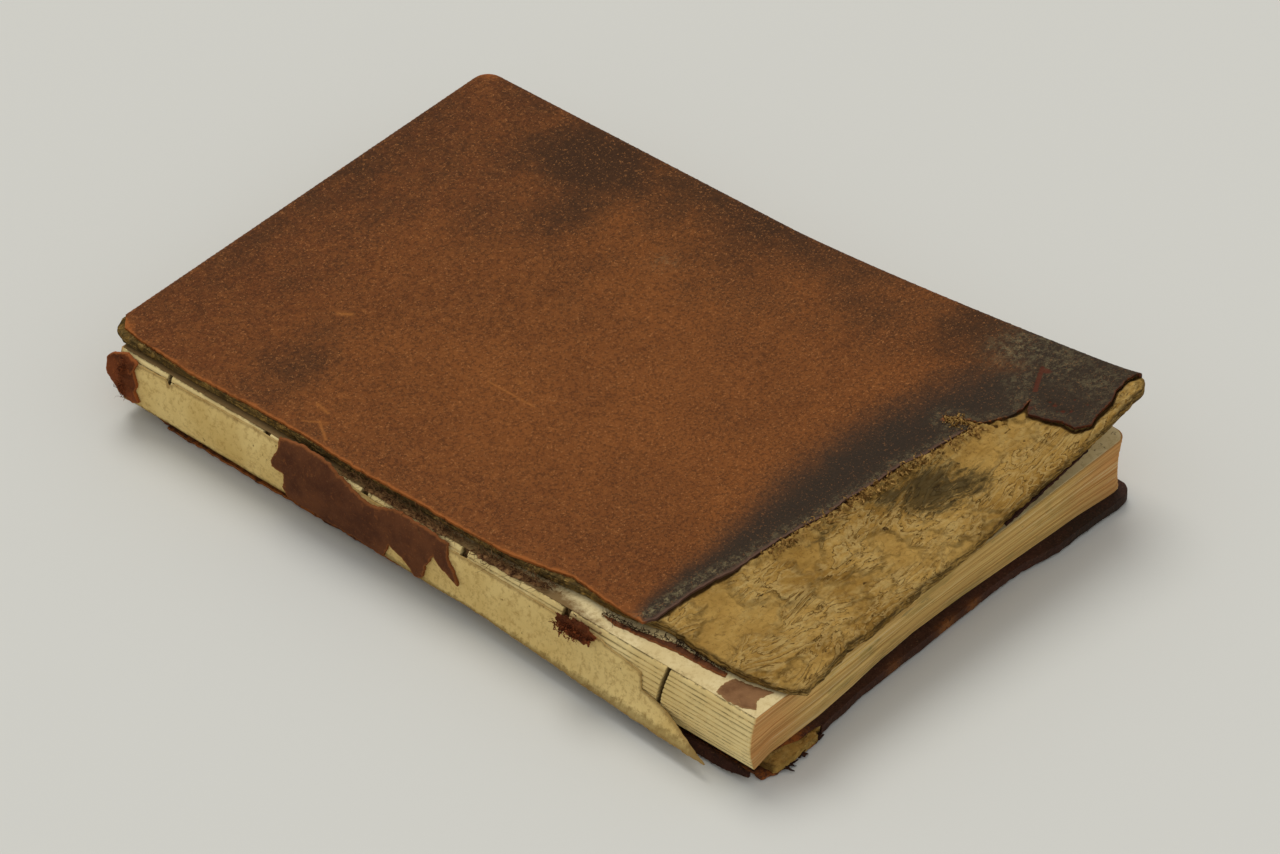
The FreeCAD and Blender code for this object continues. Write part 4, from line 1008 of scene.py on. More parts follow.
def front_board_piece(sizes):
    """Pasteboard of the front cover, finely meshed where it is bare."""
    head, fore = COVER_HEIGHT - LEATHER_THICK, COVER_WIDTH - LEATHER_THICK
    points = [(share * COVER_WIDTH, max(0.2, lost - TAIL_FRAY)) for share, lost in reversed(BOARD_TAIL_EDGE)]
    points += arc((fore - CORNER, CORNER + LEATHER_THICK), CORNER, 270, 360)
    points += arc((fore - CORNER, head - CORNER), CORNER, 0, 90)
    points += [(6.0, head), (1.8, head - 1.8)]
    points += [(lost, share * COVER_HEIGHT) for share, lost in reversed(BOARD_JOINT_EDGE)]

    def calm(at):
        return np.where((at[:, 1] > 70) & (at[:, 0] > 20), 1.0, np.where(at[:, 1] > 70, 0.5, 0.0))

    outline = ragged(points, 0.9, 0.55, 12.0, calm)
    finer = [((-6.0, -2.0), (176.0, 57.0), sizes.board_step)]
    flat, faces = triangles(outline, 5.0, 3, finer)
    u, v = flat.T
    relief, crease_shade_and_blotch, lip_highlight = board_relief(flat)
    shown = fade(v, 54, 58)
    head_corner = fade(np.hypot(u, v - COVER_HEIGHT), 6, 10)
    covered = inside(flat, np.array(leather_edge()))
    relief = np.where(covered, np.minimum(relief, 0) * 0.5, relief)
    top = LEATHER_LEVEL + relief * np.maximum(shown, head_corner * 0.5) - 0.05
    stain = gauss(flat, BOARD_STAINS)
    to_tear = distance_to(flat, dense(front_tear(), 0.6))
    wavy = to_tear + 1.1 * noise_at(flat, 6, 3, 24.0)
    ridge = np.exp(-(wavy - 1.9) ** 2 / 2.6) * fade(np.abs(u - 86), 42, 54)
    ridge = np.where(covered, 0, ridge)
    crumbs = noise_at(flat, 2.3, 3, 14.0)
    top += ridge * np.clip(0.9 + 1.7 * crumbs, -0.3, 2.0)
    # Painted shade in the hollows between the ridge's crumbs, and a painted highlight on their tops.
    crease_shade_and_blotch = np.maximum(crease_shade_and_blotch, ridge * np.clip(-1.8 * crumbs, 0, 1))
    lip_highlight = np.maximum(lip_highlight, ridge * np.clip(1.8 * crumbs, 0, 1))
    rim_distance = distance_to(flat, outline)
    hang = np.exp(-rim_distance / 1.0) * fade(v, 5, 8) * fade(np.abs(u - 80), 55, 75)
    under = BOARD_LEVEL - hang * (0.5 + 0.5 * noise_at(flat, 5, 3, 15.0))
    verts, made, every = solid_sheet(flat, faces, top, under, on_front, wall=6, crumble=0.45, shift=3.0)
    # Painted shade on the board just below the torn leather's edge; the underside gets painted shade too,
    # the wall a little.
    shade = fade(to_tear, 0.2, 1.6) * 0.9
    both = np.concatenate([np.maximum(crease_shade_and_blotch * shown, shade), np.full(len(flat), 0.5)])
    marks = {
        "crease_shade_and_blotch": on_top(both, every, 0.3),
        "lip_highlight": on_top(lip_highlight * shown, every),
        "soil": fade(every[:, 0], 9, 14) * fade(-every[:, 1], -75, -60),
        "stain": on_top(stain, every),
        "rim": on_top(np.exp(-rim_distance / 1.3), every, 1.0),
    }
    piece("front_pasteboard", verts, made, "front_cover", "board", ("front_board",), marks)


def tail_turn_in_piece():
    """What is left of the leather turned in at the front cover's tail."""
    left, right = [share * COVER_WIDTH for share in TAIL_REMAINS]
    outline = ragged([(left, -0.1), (right, -0.1), (right - 1.5, 11.0), (left + 2.0, 11.0)], 0.7, 0.5, 21.0)
    flat, faces = triangles(outline, 1.6, 6)
    top = np.where(flat[:, 1] < 0.3, BOARD_LEVEL + 0.35 + 0.5 * noise_at(flat, 4, 3, 2.0), BOARD_LEVEL)
    under = np.full(len(flat), TURN_IN_LEVEL)
    verts, made, every = solid_sheet(flat, faces, top, under, on_front, wall=3, crumble=0.3)
    piece("tail_turn_in", verts, made, "front_cover", "dark_rust", ("front_tail_turn_in",),
          {"rim": np.zeros(len(every))})


def back_outline():
    """Outer edge of the back leather, and the part of it that is turned over the board."""
    radius = CORNER + LEATHER_THICK
    tail = [(share * BACK_WIDTH, lost) for share, lost in reversed(BACK_TAIL_EDGE)]
    turned = [p for p in tail if p[0] > 25.0] + arc((BACK_WIDTH - radius, radius), radius, 270, 360)
    turned += arc((BACK_WIDTH - radius, COVER_HEIGHT - radius), radius, 0, 90)
    turned += [(5.6, COVER_HEIGHT)]
    free = [(5.2, COVER_HEIGHT - 3.0), (4.1, COVER_HEIGHT - 16.0), (2.2, COVER_HEIGHT - 20.0),
            (0.9, COVER_HEIGHT - 26.0), (0.0, COVER_HEIGHT - 26.0)]
    free += [p for p in tail if p[0] <= 25.0]
    return turned, free


def back_turn_in(turned):
    """Leather turned in over the back board on three sides."""
    fore, head = BACK_WIDTH - TURN_IN_WIDTH, COVER_HEIGHT - TURN_IN_WIDTH
    outline = [(24.5, 2.2)] + [(x, y + 0.4) for x, y in turned if x > 26 and y < 6]
    outline += arc((BACK_WIDTH - 6.0, COVER_HEIGHT - 6.0), 5.5, 0, 90)
    outline += [(7.0, COVER_HEIGHT - 0.5), (7.0, head), (fore, head), (fore, TURN_IN_WIDTH),
                (9.0, TURN_IN_WIDTH), (8.0, 5.0), (13.0, 4.0), (17.0, 2.4)]
    flat, faces = triangles(ragged(outline, 1.5, 0.2, 33.0), 2.0, 8)
    above = TURN_IN_LEVEL - 0.03 * noise_at(flat, 5, 3, 2.0)
    return solid_sheet(flat, faces, np.full(len(flat), BOARD_LEVEL), above, on_back, wall=1)


def back_leather_piece():
    """Calf of the back cover with its joint and turn-ins."""
    turned, free = back_outline()
    outline = ragged(turned + free, 1.0, 0.8, 31.0, hold(turned, 0.75))
    flat, faces = triangles(outline, 3.0, 7, (), insets(dense(turned, 1.2), TURNED_INSETS))
    to_turned = distance_to(flat, dense(turned, 0.5))
    wobble = 0.05 * noise_at(flat, 30, 3, 3.0)
    outer = OUTER_LEVEL - 0.06 + np.minimum(wobble, 0.05) - rolled(to_turned, 1.0)
    inner = np.where(to_turned < EDGE_BAND, TURN_IN_LEVEL, LEATHER_LEVEL)
    verts, made, every = solid_sheet(flat, faces, outer, inner, on_back, wall=4, crumble=0.15)
    strip_verts, strip_made, strip_every = back_turn_in(turned)
    verts, made = join([(verts, made), (strip_verts, strip_made)])
    at = np.vstack([every[:, :2], strip_every[:, :2]])
    zero = np.zeros(len(at))
    near_free = np.exp(-distance_to(at, dense(free, 0.5)) / 0.9)
    marks = {
        "flush": zero,
        "rim": zero,
        "dusk": gauss(at, ((80, 0, 90, 3, 0.5), (20, 200, 30, 40, 0.4), (150, 60, 40, 60, 0.5))),
        "scorch": gauss(at, ((150, 0, 26, 8, 0.6),)),
        "bloom_and_ridge_highlight": gauss(at, ((60, 120, 60, 90, 0.25),)),
        "scratch": gauss(at, ((84, 3, 4, 1.2, 0.8), (96, 3, 3, 1.0, 0.7), (60, 2.5, 3, 1, 0.6))),
        "raw": np.maximum(near_free * 0.8, gauss(at, ((14, 4, 13, 4, 0.9),))),
        "red": 0.15 * near_free,
    }
    piece("back_calf", verts, made, "back_cover", "back_leather",
          ("back_cover_leather",), marks, flip=True)


def back_board_piece():
    """Pasteboard of the back cover, swollen and bare at its tail corner."""
    skin = LEATHER_THICK
    fore, head = BACK_WIDTH - skin, COVER_HEIGHT - skin
    tail = [(share * BACK_WIDTH, lost + skin) for share, lost in reversed(BACK_TAIL_EDGE)]
    bare = [(4.4, 1.8), (3.8, 0.3), (7.0, -0.3), (12.0, -0.5), (18.0, -0.2), (22.8, -0.2), (23.4, 1.8)]
    points = bare + [p for p in tail if p[0] > 26]
    points += arc((fore - CORNER, CORNER + skin), CORNER, 270, 360)
    points += arc((fore - CORNER, head - CORNER), CORNER, 0, 90)
    points += [(BACK_JOINT + 2.5, head), (BACK_JOINT, head - 2.5), (BACK_JOINT, 5.0)]

    def calm(at):
        return np.where(np.hypot(at[:, 0], at[:, 1]) < 30, 0.0, 1.0)

    outline = ragged(points, 0.7, 0.5, 41.0, calm)
    flat, faces = triangles(outline, 7.0, 9, [((2.0, -2.0), (28.0, 14.0), 0.8)])
    near = fade(np.hypot(flat[:, 0], flat[:, 1]), 24, 29)
    relief = 0.35 * noise_at(flat, 6, 4, 3.0) + 0.12 * noise_at(flat, 1.5, 3, 4.0)
    face = BOARD_LEVEL + np.clip(-relief + 0.15, -0.1, 0.8) * near
    over = np.full(len(flat), LEATHER_LEVEL)
    verts, made, every = solid_sheet(flat, faces, over, face, on_back, wall=5, crumble=0.3)
    zero = np.zeros(len(every))
    # Random dark blotches on the back board.
    crease_shade_and_blotch = np.clip(-noise_at(every, 5, 3, 8.0) * 1.2, 0, 0.6)
    marks = {"crease_shade_and_blotch": crease_shade_and_blotch, "stain": zero, "rim": zero + 0.3, "lip_highlight": zero, "soil": zero}
    piece("back_pasteboard", verts, made, "back_cover", "board",
          ("back_board",), marks, flip=True)


def lean_at(x, z):
    """How far the pages' tail edge stands back at a place."""
    share = np.interp(x / PAGE_WIDTH, [p[0] for p in LEAN_LINE], [p[1] for p in LEAN_LINE])
    return share * TAIL_LEAN * (PAGES_TOP - z) / PAGES_THICK


def fold_shear(y, z):
    """How far the folds lean with the tail of the pages."""
    reach = np.interp(y, (0, 8, 20, 34, 80, 150), (0.0, 1.6, 3.2, 3.9, 2.0, 0.0))
    return reach * (PAGES_TOP - z) / PAGES_THICK


def line_noise(places, row, scale, octaves, shift):
    """Noise along a line of places, another for each row."""
    return noise_at(np.column_stack([places, np.full(len(places), row)]), scale, octaves, shift)


def section_rows(uneven):
    """Mesh rows up the pages: height, share of its section, and the section's number."""
    bounds = np.concatenate([[0], np.cumsum(uneven.uniform(0.7, 1.3, SECTIONS))])
    bounds = PAGES_LOW + PAGES_THICK * bounds / bounds[-1]
    rows = [(low + (high - low) * t, t, s) for s, (low, high) in enumerate(zip(bounds, bounds[1:]))
            for t in SECTION_SHARES]
    return rows + [(PAGES_TOP, 1.0, SECTIONS)]


def spine_places():
    """Mesh places along the folds, from the head down, closer at the sawn slots."""
    places = [0.9] + list(np.arange(2.0, 249.0, 1.6))
    for centre, _, _, clear, steps in SLOTS:
        places = [y for y in places if abs(y - centre) > clear]
        places += sorted({centre + side * step for step in steps for side in (-1, 1)})
    return np.array(sorted(places, reverse=True))


def page_block_piece():
    """All the pages: section folds, leaf edges on three sides, sawn slots on the fourth."""
    rng = np.random.default_rng(11)
    uneven = np.random.default_rng(17)
    section_list = section_rows(uneven)
    strength = uneven.uniform(0.35, 1.0, SECTIONS + 1)
    tail_x = np.linspace(0.0, PAGE_WIDTH - PAGE_CORNER, 96)
    fore_y = np.linspace(PAGE_CORNER, PAGE_HEIGHT - PAGE_CORNER, 100)
    turn = np.radians(np.linspace(0, 90, 7)[1:-1])
    out, rise = PAGE_CORNER * np.sin(turn), PAGE_CORNER * np.cos(turn)
    spine_y = spine_places()
    slot_depth = strongest(*[depth * fade(np.abs(spine_y - centre), half * 0.7, half * 1.25)
                             for centre, half, depth, _, _ in SLOTS])
    rows = []
    marks = {"crease_shade_and_blotch": [], "fold": [], "ends": [], "sawn": []}
    for row, (z, part, section) in enumerate(section_list):
        offset = rng.normal(0, 0.07)
        hollow = FORE_HOLLOW * (1 - ((z - PAGES_LOW) / PAGES_THICK * 2 - 1) ** 2)
        fore = PAGE_WIDTH - hollow + rng.normal(0, 0.06)
        deep = 0.5 * abs(2 * part - 1) ** 5
        upper = part > 0.5 and row < len(section_list) - 1
        rough = line_noise(tail_x, z * 9, 14, 2, 1.0)
        tip = spine_curve(z)
        tail_x[0] = tip + 0.3
        tail = np.column_stack([tail_x, lean_at(tail_x, z) + offset + 0.10 * rough])
        lean_corner = lean_at(PAGE_WIDTH - PAGE_CORNER, z)
        corner_a = np.column_stack([fore - PAGE_CORNER + out,
                                    (lean_corner + offset) * np.cos(turn) + PAGE_CORNER - rise])
        side = np.column_stack([fore + 0.07 * line_noise(fore_y, z * 9, 16, 2, 5.0), fore_y])
        corner_b = np.column_stack([fore - PAGE_CORNER + rise, PAGE_HEIGHT - PAGE_CORNER + out])
        head_x = tail_x[::-1]
        head_y = PAGE_HEIGHT + offset + 0.08 * line_noise(head_x, z * 9, 14, 2, 9.0)
        wander = 0.18 * line_noise(spine_y, section * 40.0, 22, 3, 3.0)
        nick = np.clip(line_noise(spine_y, z * 12, 3.0, 2, 6.0) - 0.25, 0, 1) * 0.5
        x = tip + deep * (1 + 0.5 * wander) + wander * 0.5 + slot_depth + nick * abs(2 * part - 1) ** 2
        spine = np.column_stack([x, spine_y + fold_shear(spine_y, z)])
        ring = np.vstack([tail, corner_a, side, corner_b, np.column_stack([head_x, head_y]), spine])
        rows.append(np.column_stack([ring, np.full(len(ring), z)]))
        before = np.zeros(len(ring) - len(spine))
        mid = np.abs(ring[:len(before), 0] / PAGE_WIDTH * 2 - 1)
        # Painted shade in the valleys between the sections and in the sawn slots.
        marks["crease_shade_and_blotch"] += [before, np.full(len(x), min(deep / 0.4, 1) * strength[section + upper])]
        marks["sawn"] += [before, np.clip(slot_depth, 0, 1)]
        marks["fold"] += [before, np.ones(len(x))]
        marks["ends"] += [np.clip((mid - 0.45) / 0.5, 0, 1), np.zeros(len(x))]
    count = len(rows[0])
    verts = np.vstack(rows)
    wave = 0.16 * noise_at(np.column_stack([verts[:, 1], np.zeros(len(verts)), verts[:, 2] * 3]), 30, 3, 4.0)
    keep = np.clip(np.minimum(verts[:, 2] - PAGES_LOW, PAGES_TOP - verts[:, 2]) / 2, 0, 1)
    verts[:, 2] += wave * keep * np.clip(1 - (verts[:, 0] + 2) / 40, 0, 1)
    faces = []
    for r in range(len(rows) - 1):
        for i in range(count):
            j = (i + 1) % count
            faces.append((r * count + i, r * count + j, (r + 1) * count + j, (r + 1) * count + i))
    faces.append(tuple(reversed(range(count))))
    faces.append(tuple((len(rows) - 1) * count + i for i in range(count)))
    marks = {key: np.concatenate(values) for key, values in marks.items()}
    piece("page_block", verts, faces, "pages", "pages", ("text_block",), marks)


def spine_sheet_piece(name, outline, node, finish, out, thick, rough, spacing, seed, ripple):
    """Sheet on the rounded spine from shares of its height and thickness."""
    places = [(a * PAGE_HEIGHT, PAGES_LOW + b * PAGES_THICK) for a, b in outline]
    edge = ragged(places, min(0.7, spacing), rough, seed * 3.0)
    flat, faces = triangles(edge, spacing, seed)
    swell = ripple * noise_at(flat, 9, 4, seed) + ripple * 0.5 * noise_at(flat, 2.5, 3, seed + 5)
    rim = np.exp(-distance_to(flat, edge) / 0.8)
    top = out + thick + swell + 0.4 * ripple * rim * noise_at(flat, 4, 2, seed + 9)
    under = out + swell * 0.5
    verts, made, every = solid_sheet(flat, faces, top, under, on_spine, wall=2, crumble=0.08)
    marks = {"rim": on_top(rim, every, 1.0), "foot": fade(every[:, 1], 5.0, 8.5)}
    piece(name, verts, made, "pages", finish, (node,), marks, flip=True)


def shoulder_piece(name, outline, node, finish, thick, rough, seed, arch=0.3):
    """Torn scrap on the shoulder of the pages."""
    places = [(a, b * PAGE_HEIGHT) for a, b in outline]
    edge = ragged(places, 0.45, rough, seed * 3.0)
    flat, faces = triangles(edge, 0.7, seed)
    rim_distance = distance_to(flat, edge)
    rim = np.exp(-rim_distance / 0.6)
    top = thick * (0.55 + 0.45 * noise_at(flat, 3.0, 4, seed)) + arch * noise_at(flat, 1.2, 3, seed + 4)
    top = np.clip(top, 0.25, thick * 1.35) * np.clip(0.4 + rim_distance, 0, 1)
    under = np.full(len(flat), 0.02)
    verts, made, every = solid_sheet(flat, faces, top, under, on_shoulder, wall=2, crumble=0.15)
    piece(name, verts, made, "pages", finish, (node,), {"rim": on_top(rim, every, 1.0)})


def lump(name, centre, radii, node, finish, seed):
    """Crumpled lump of torn leather."""
    rings = 26
    across = rings * 2
    verts, faces = [], []
    for i in range(rings + 1):
        polar = math.pi * i / rings
        for j in range(across):
            turn = math.pi * j / rings
            round_by = math.sin(polar)
            verts.append((round_by * math.cos(turn), round_by * math.sin(turn), math.cos(polar)))
    verts = np.array(verts)
    push = 1 + 0.35 * noise_at(verts, 0.7, 3, seed) + 0.22 * noise_at(verts, 0.25, 3, seed + 3)
    places = verts * push[:, None] * np.array(radii) + np.array(centre)
    for i in range(rings):
        for j in range(across):
            k = (j + 1) % across
            faces.append((i * across + j, (i + 1) * across + j, (i + 1) * across + k, i * across + k))
    rim = np.clip((push - 1) * 2, 0, 1)
    piece(name, places, faces, "pages", finish, (node,), {"rim": rim})


def joint_foot_piece():
    """Dark joint leather of the back cover at the tail, behind the loose lining; its darkness is also
    painted shade for the hollow below the folds.
    """
    flat, faces = triangles(ragged(JOINT_FOOT, 0.6, 0.3, 61.0), 0.9, 61)
    swell = 0.5 * noise_at(flat, 7, 4, 62.0) + 0.25 * noise_at(flat, 2.2, 3, 63.0)
    out = 0.9 + 1.2 * fade(flat[:, 1], 0.5, 4.0) + swell

    def place(p):
        return np.column_stack([-p[:, 2], p[:, 0], np.clip(p[:, 1], 0.1, 3.85)])

    verts, made, every = solid_sheet(flat, faces, out + 0.5, out - 0.4, place, wall=3, crumble=0.2)
    piece("joint_leather_and_shade", verts, made, "back_cover", "dark_rust", (),
          {"rim": np.zeros(len(every))}, flip=True)


def fibres_piece(name, line, mean, spread, count, length, width, body, finish, seed, curl, sag,
                 scatter):
    """Loose fibres along a line of places in the book's frame."""
    rng = np.random.default_rng(seed)
    line = np.asarray(line, float)
    steps = np.concatenate([[0], np.cumsum(np.linalg.norm(np.diff(line, axis=0), axis=1))])
    at = rng.uniform(0, steps[-1], count)
    roots = np.column_stack([np.interp(at, steps, line[:, k]) for k in range(3)])
    roots += rng.normal(0, scatter, roots.shape) * np.array((1, 1, 0.3))
    ways = np.array(mean, float) + spread * rng.normal(size=(count, 3))
    lengths = length * rng.uniform(0.4, 1.5, count)
    verts, faces = strands(roots, ways, lengths, width, seed + 1, curl, sag)
    verts[:, 2] = np.maximum(verts[:, 2], LOWEST)
    piece(name, verts, faces, body, finish, smooth=False)


class BookSizes(bpy.types.PropertyGroup):
    """How finely the pieces are meshed, their main colours, and how the studio is lit."""

    leather_step: FloatProperty(
        name="Leather spacing", description="Mesh spacing on the front leather, in mm",
        default=1.5, min=0.8, max=5.0)
    board_step: FloatProperty(
        name="Board spacing", description="Mesh spacing on the bare board, in mm",
        default=0.65, min=0.5, max=3.0)
    tear_fibres: IntProperty(
        name="Tear fibres", description="Loose fibres along the torn leather",
        default=900, min=0, max=4000)
    leather_colour: FloatVectorProperty(
        name="Leather", description="Ground colour of the front leather", subtype="COLOR_GAMMA",
        default=(124 / 255, 72 / 255, 31 / 255), min=0.0, max=1.0)
    board_colour: FloatVectorProperty(
        name="Board", description="Ground colour of the bare pasteboard", subtype="COLOR_GAMMA",
        default=(196 / 255, 156 / 255, 83 / 255), min=0.0, max=1.0)
    lining_colour: FloatVectorProperty(
        name="Lining", description="Ground colour of the paper on the spine", subtype="COLOR_GAMMA",
        default=(228 / 255, 200 / 255, 132 / 255), min=0.0, max=1.0)
    lens: FloatProperty(
        name="Lens", description="Focal length of the camera", default=192.94, unit="CAMERA")
    sun_strength: FloatProperty(
        name="Sun", description="Strength of the soft key light", default=1.35, min=0.0)
    sky_strength: FloatProperty(
        name="Sky", description="Strength of the light from all round", default=0.61, min=0.0)
    floor_colour: FloatVectorProperty(
        name="Floor", description="Colour of the floor", subtype="COLOR",
        default=(0.64, 0.64, 0.60), min=0.0, max=1.0)


class BOOK_OT_front_cover(bpy.types.Operator):
    """Calf, bare pasteboard and turned-in remains of the front cover"""

    bl_idname = "book.front_cover"
    bl_label = "Front cover"

    def execute(self, context):
        sizes = context.scene.book_sizes
        front_leather_piece(sizes)
        front_board_piece(sizes)
        tail_turn_in_piece()
        return {"FINISHED"}


class BOOK_OT_back_cover(bpy.types.Operator):
    """Calf and pasteboard of the back cover"""

    bl_idname = "book.back_cover"
    bl_label = "Back cover"

    def execute(self, context):
        back_leather_piece()
        back_board_piece()
        return {"FINISHED"}


class BOOK_OT_pages(bpy.types.Operator):
    """Sewn pages, flyleaves, pastedowns and cords"""

    bl_idname = "book.pages"
    bl_label = "Pages"

    def execute(self, context):
        page_block_piece()
        for name, finish in (("front_flyleaf", "shoulder"), ("back_flyleaf", "endpaper"),
                             ("front_pastedown", "endpaper"), ("back_pastedown", "endpaper"),
                             ("sewing_cords", "cord")):
            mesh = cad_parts[name].data
            mesh.materials.clear()
            mesh.materials.append(FINISHES[finish])
        return {"FINISHED"}


class BOOK_OT_spine(bpy.types.Operator):
    """Paper lining and the leather left on the spine"""

    bl_idname = "book.spine"
    bl_label = "Spine"

    def execute(self, context):
        spine_sheet_piece("lining_paper", LINING_EDGE, "spine_lining", "lining",
                          0.15, 0.5, 0.28, 1.3, 12, 0.09)
        spine_sheet_piece("spine_calf", SPINE_LEATHER, "spine_leather", "spine",
                          0.8, 0.85, 0.7, 0.9, 13, 0.2)
        spine_sheet_piece("head_cap_calf", HEAD_CAP, "head_cap_leather", "rust",
                          0.8, 0.9, 0.6, 0.7, 14, 0.35)
        return {"FINISHED"}


def cover_fibres(count):
    """Loose fibres on the front cover, along the tear and the joint."""
    tear = dense([p for p in front_tear() if 36 < p[0] < 128], 0.8)
    ridge = on_front(np.column_stack([tear[:, 0], tear[:, 1] - 1.8, np.full(len(tear), 3.6)]))
    fibres_piece("tear_fibres", ridge, (0.1, -0.6, 0.4), 0.9, count, 2.4, 0.26, "front_cover",
                 "pulp", 51, 0.85, 0.1, 0.9)
    joint = dense([(lost + 0.3, share * COVER_HEIGHT) for share, lost in LEATHER_JOINT_EDGE], 0.8)
    edge = on_front(np.column_stack([joint, np.full(len(joint), 3.2)]))
    fibres_piece("joint_fuzz", edge, (-0.8, 0.0, 0.15), 0.6, count // 2, 1.1, 0.07, "front_cover",
                 "red_fibre", 52, 0.6, 0.1, 0.3)


def shoulder_fibres():
    """Loose fibres of the cloth and leather left in the front joint."""
    hairs = np.column_stack([np.full(90, 1.6), np.linspace(112, 160, 90), np.full(90, 0.8)])
    fibres_piece("joint_hairs", on_shoulder(hairs), (-0.2, 0.9, 0.25), 0.6, 260, 5.0, 0.10, "pages",
                 "cloth", 53, 0.5, 0.12, 0.9)
    hairs = np.column_stack([np.linspace(3.0, 0.6, 60), np.linspace(78, 108, 60), np.full(60, 0.8)])
    fibres_piece("joint_threads", on_shoulder(hairs), (-0.2, 0.8, 0.2), 0.6, 160, 4.5, 0.12, "pages",
                 "cloth", 54, 0.5, 0.12, 0.7)
    strip = dense([(x, y * PAGE_HEIGHT) for x, y in JOINT_STRIP[:5]], 0.8)
    strip = on_shoulder(np.column_stack([strip, np.full(len(strip), 1.0)]))
    fibres_piece("strip_fray", strip, (-0.5, 0.2, 0.3), 0.7, 220, 2.0, 0.12, "pages",
                 "dark_fibre", 55, 0.6, 0.1, 0.5)


class BOOK_OT_remains(bpy.types.Operator):
    """Cloth, fibres and scraps left in the joint and along the tear"""

    bl_idname = "book.remains"
    bl_label = "Torn remains"

    def execute(self, context):
        shoulder_piece("joint_mull", JOINT_CLOTH, "joint_cloth", "cloth", 0.8, 0.5, 21)
        shoulder_piece("joint_fray", JOINT_FIBRES, "joint_fibres", "cloth", 1.0, 0.6, 22)
        shoulder_piece("joint_strip", JOINT_STRIP, "joint_leather_strip", "spine", 1.1, 0.4,
                       23)
        shoulder_piece("flesh_scrap", SHOULDER_SCRAP, "shoulder_scrap", "scrap", 0.45, 0.5, 24,
                       0.15)
        joint_foot_piece()
        along = sum(a for a, _ in TUFT) / len(TUFT) * PAGE_HEIGHT
        high = PAGES_LOW + sum(b for _, b in TUFT) / len(TUFT) * PAGES_THICK
        lump("torn_tuft", (-3.4, along, high), (1.2, 6.6, 3.4), "leather_tuft", "rust", 5)
        cover_fibres(context.scene.book_sizes.tear_fibres)
        shoulder_fibres()
        tuft = [(-4.2, along - 4, high), (-4.4, along, high + 1), (-4.0, along + 4, high)]
        fibres_piece("tuft_fibres", tuft, (-0.6, 0.0, 0.2), 0.9, 420, 1.7, 0.22, "pages",
                     "red_fibre", 56, 0.9, 0.15, 1.5)
        cap = on_spine(np.array([(247.0, z, 1.6) for z in np.linspace(8, 23, 30)]))
        fibres_piece("cap_fibres", cap, (-0.4, -0.6, 0.1), 0.8, 160, 2.4, 0.12, "pages",
                     "red_fibre", 57, 0.7, 0.1, 0.7)
        curl = on_back(np.array([(4.0, 1.6, 3.2), (9.0, 0.0, 3.3), (17.0, 0.0, 3.3), (26.0, 1.2, 3.0)]))
        fibres_piece("corner_curls", curl, (1.0, 0.0, 0.12), 0.3, 16, 2.8, 0.75, "back_cover",
                     "dark_rust", 58, 0.16, 0.03, 0.35)
        return {"FINISHED"}


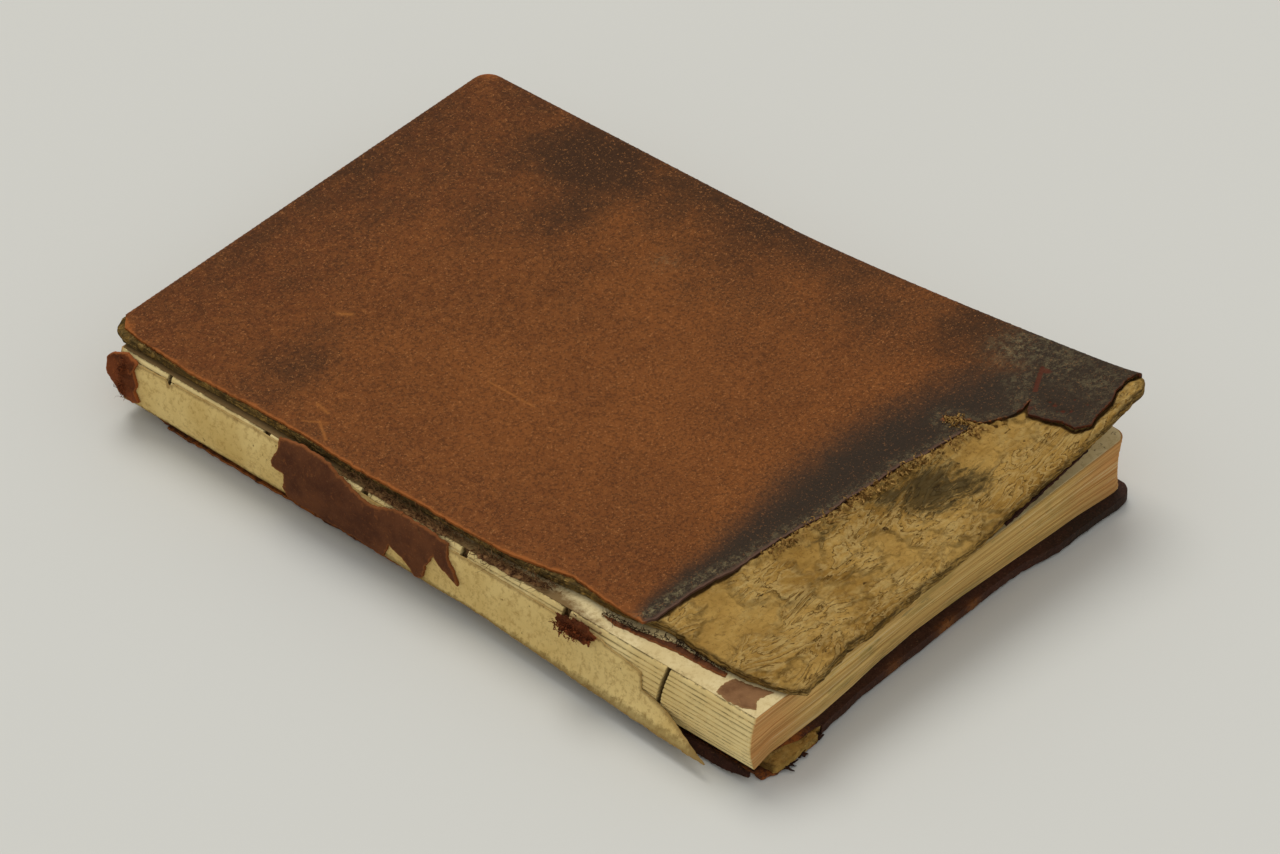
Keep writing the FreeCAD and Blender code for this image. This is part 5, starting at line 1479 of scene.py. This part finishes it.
class BOOK_OT_stage(bpy.types.Operator):
    """Pale floor, soft light and the camera at the photograph's angle"""

    bl_idname = "book.stage"
    bl_label = "Stage"

    def execute(self, context):
        sizes = context.scene.book_sizes
        scene = context.scene
        scene.view_settings.view_transform = "Standard"
        half = FLOOR_HALF
        corners = [(-half, -half, 0), (half, -half, 0), (half, half, 0), (-half, half, 0)]
        mesh = bpy.data.meshes.new("floor")
        mesh.from_pydata(corners, [], [(0, 1, 2, 3)])
        floor = bpy.data.objects.new("floor", mesh)
        floor.location.z = -FLOOR_DROP
        scene.collection.objects.link(floor)
        finish = Finish("pale_floor", 0.9, 0.1)
        finish.shader.inputs["Base Color"].default_value = (*sizes.floor_colour, 1.0)
        mesh.materials.append(finish.material)

        world = bpy.data.worlds.new("studio")
        scene.world = world
        world.use_nodes = True
        sky = world.node_tree.nodes["Background"]
        sky.inputs["Color"].default_value = (1.0, 1.0, 1.0, 1.0)
        sky.inputs["Strength"].default_value = sizes.sky_strength

        sun = bpy.data.lights.new("key", "SUN")
        sun.energy = sizes.sun_strength
        sun.angle = SUN_ANGLE
        sun.color = SUN_COLOUR
        lamp = bpy.data.objects.new("key", sun)
        lamp.rotation_euler = Vector(SUN_FROM).to_track_quat("Z", "Y").to_euler()
        scene.collection.objects.link(lamp)

        camera = bpy.data.cameras.new("camera")
        camera.lens = sizes.lens
        camera.sensor_width = 36.0
        holder = bpy.data.objects.new("camera", camera)
        level = math.cos(CAMERA_ELEVATION)
        back = Vector((math.sin(CAMERA_AZIMUTH) * level, -math.cos(CAMERA_AZIMUTH) * level,
                       math.sin(CAMERA_ELEVATION)))
        target = (np.array(CAMERA_TARGET) - ORIGIN) / MM_PER_M
        holder.location = Vector(target) + back * CAMERA_DISTANCE
        holder.rotation_mode = "QUATERNION"
        holder.rotation_quaternion = (-back).to_track_quat("-Z", "Y")
        camera.clip_end = CAMERA_FAR
        scene.collection.objects.link(holder)
        scene.camera = holder
        return {"FINISHED"}


class BOOK_PT_panel(bpy.types.Panel):
    """The book's pieces"""

    bl_label = "Worn leather book"
    bl_idname = "BOOK_PT_panel"
    bl_space_type = "VIEW_3D"
    bl_region_type = "UI"
    bl_category = "Book"

    def draw(self, context):
        layout = self.layout
        sizes = context.scene.book_sizes
        for name in BookSizes.__annotations__:
            layout.prop(sizes, name)
        for operator in OPERATORS:
            layout.operator(operator.bl_idname)


OPERATORS = (BOOK_OT_front_cover, BOOK_OT_back_cover, BOOK_OT_pages, BOOK_OT_spine, BOOK_OT_remains,
             BOOK_OT_stage)


def register():
    """Make the properties, the operators and the panel known."""
    bpy.utils.register_class(BookSizes)
    for operator in OPERATORS:
        bpy.utils.register_class(operator)
    bpy.utils.register_class(BOOK_PT_panel)
    bpy.types.Scene.book_sizes = PointerProperty(type=BookSizes)


def unregister():
    """Take them away again."""
    del bpy.types.Scene.book_sizes
    bpy.utils.unregister_class(BOOK_PT_panel)
    for operator in reversed(OPERATORS):
        bpy.utils.unregister_class(operator)
    bpy.utils.unregister_class(BookSizes)


def main():
    """Build the whole book."""
    register()
    FINISHES.update(materials(bpy.context.scene.book_sizes))
    bpy.ops.book.front_cover()
    bpy.ops.book.back_cover()
    bpy.ops.book.pages()
    bpy.ops.book.spine()
    bpy.ops.book.remains()
    bpy.ops.book.stage()


if __name__ == "__main__":
    main()
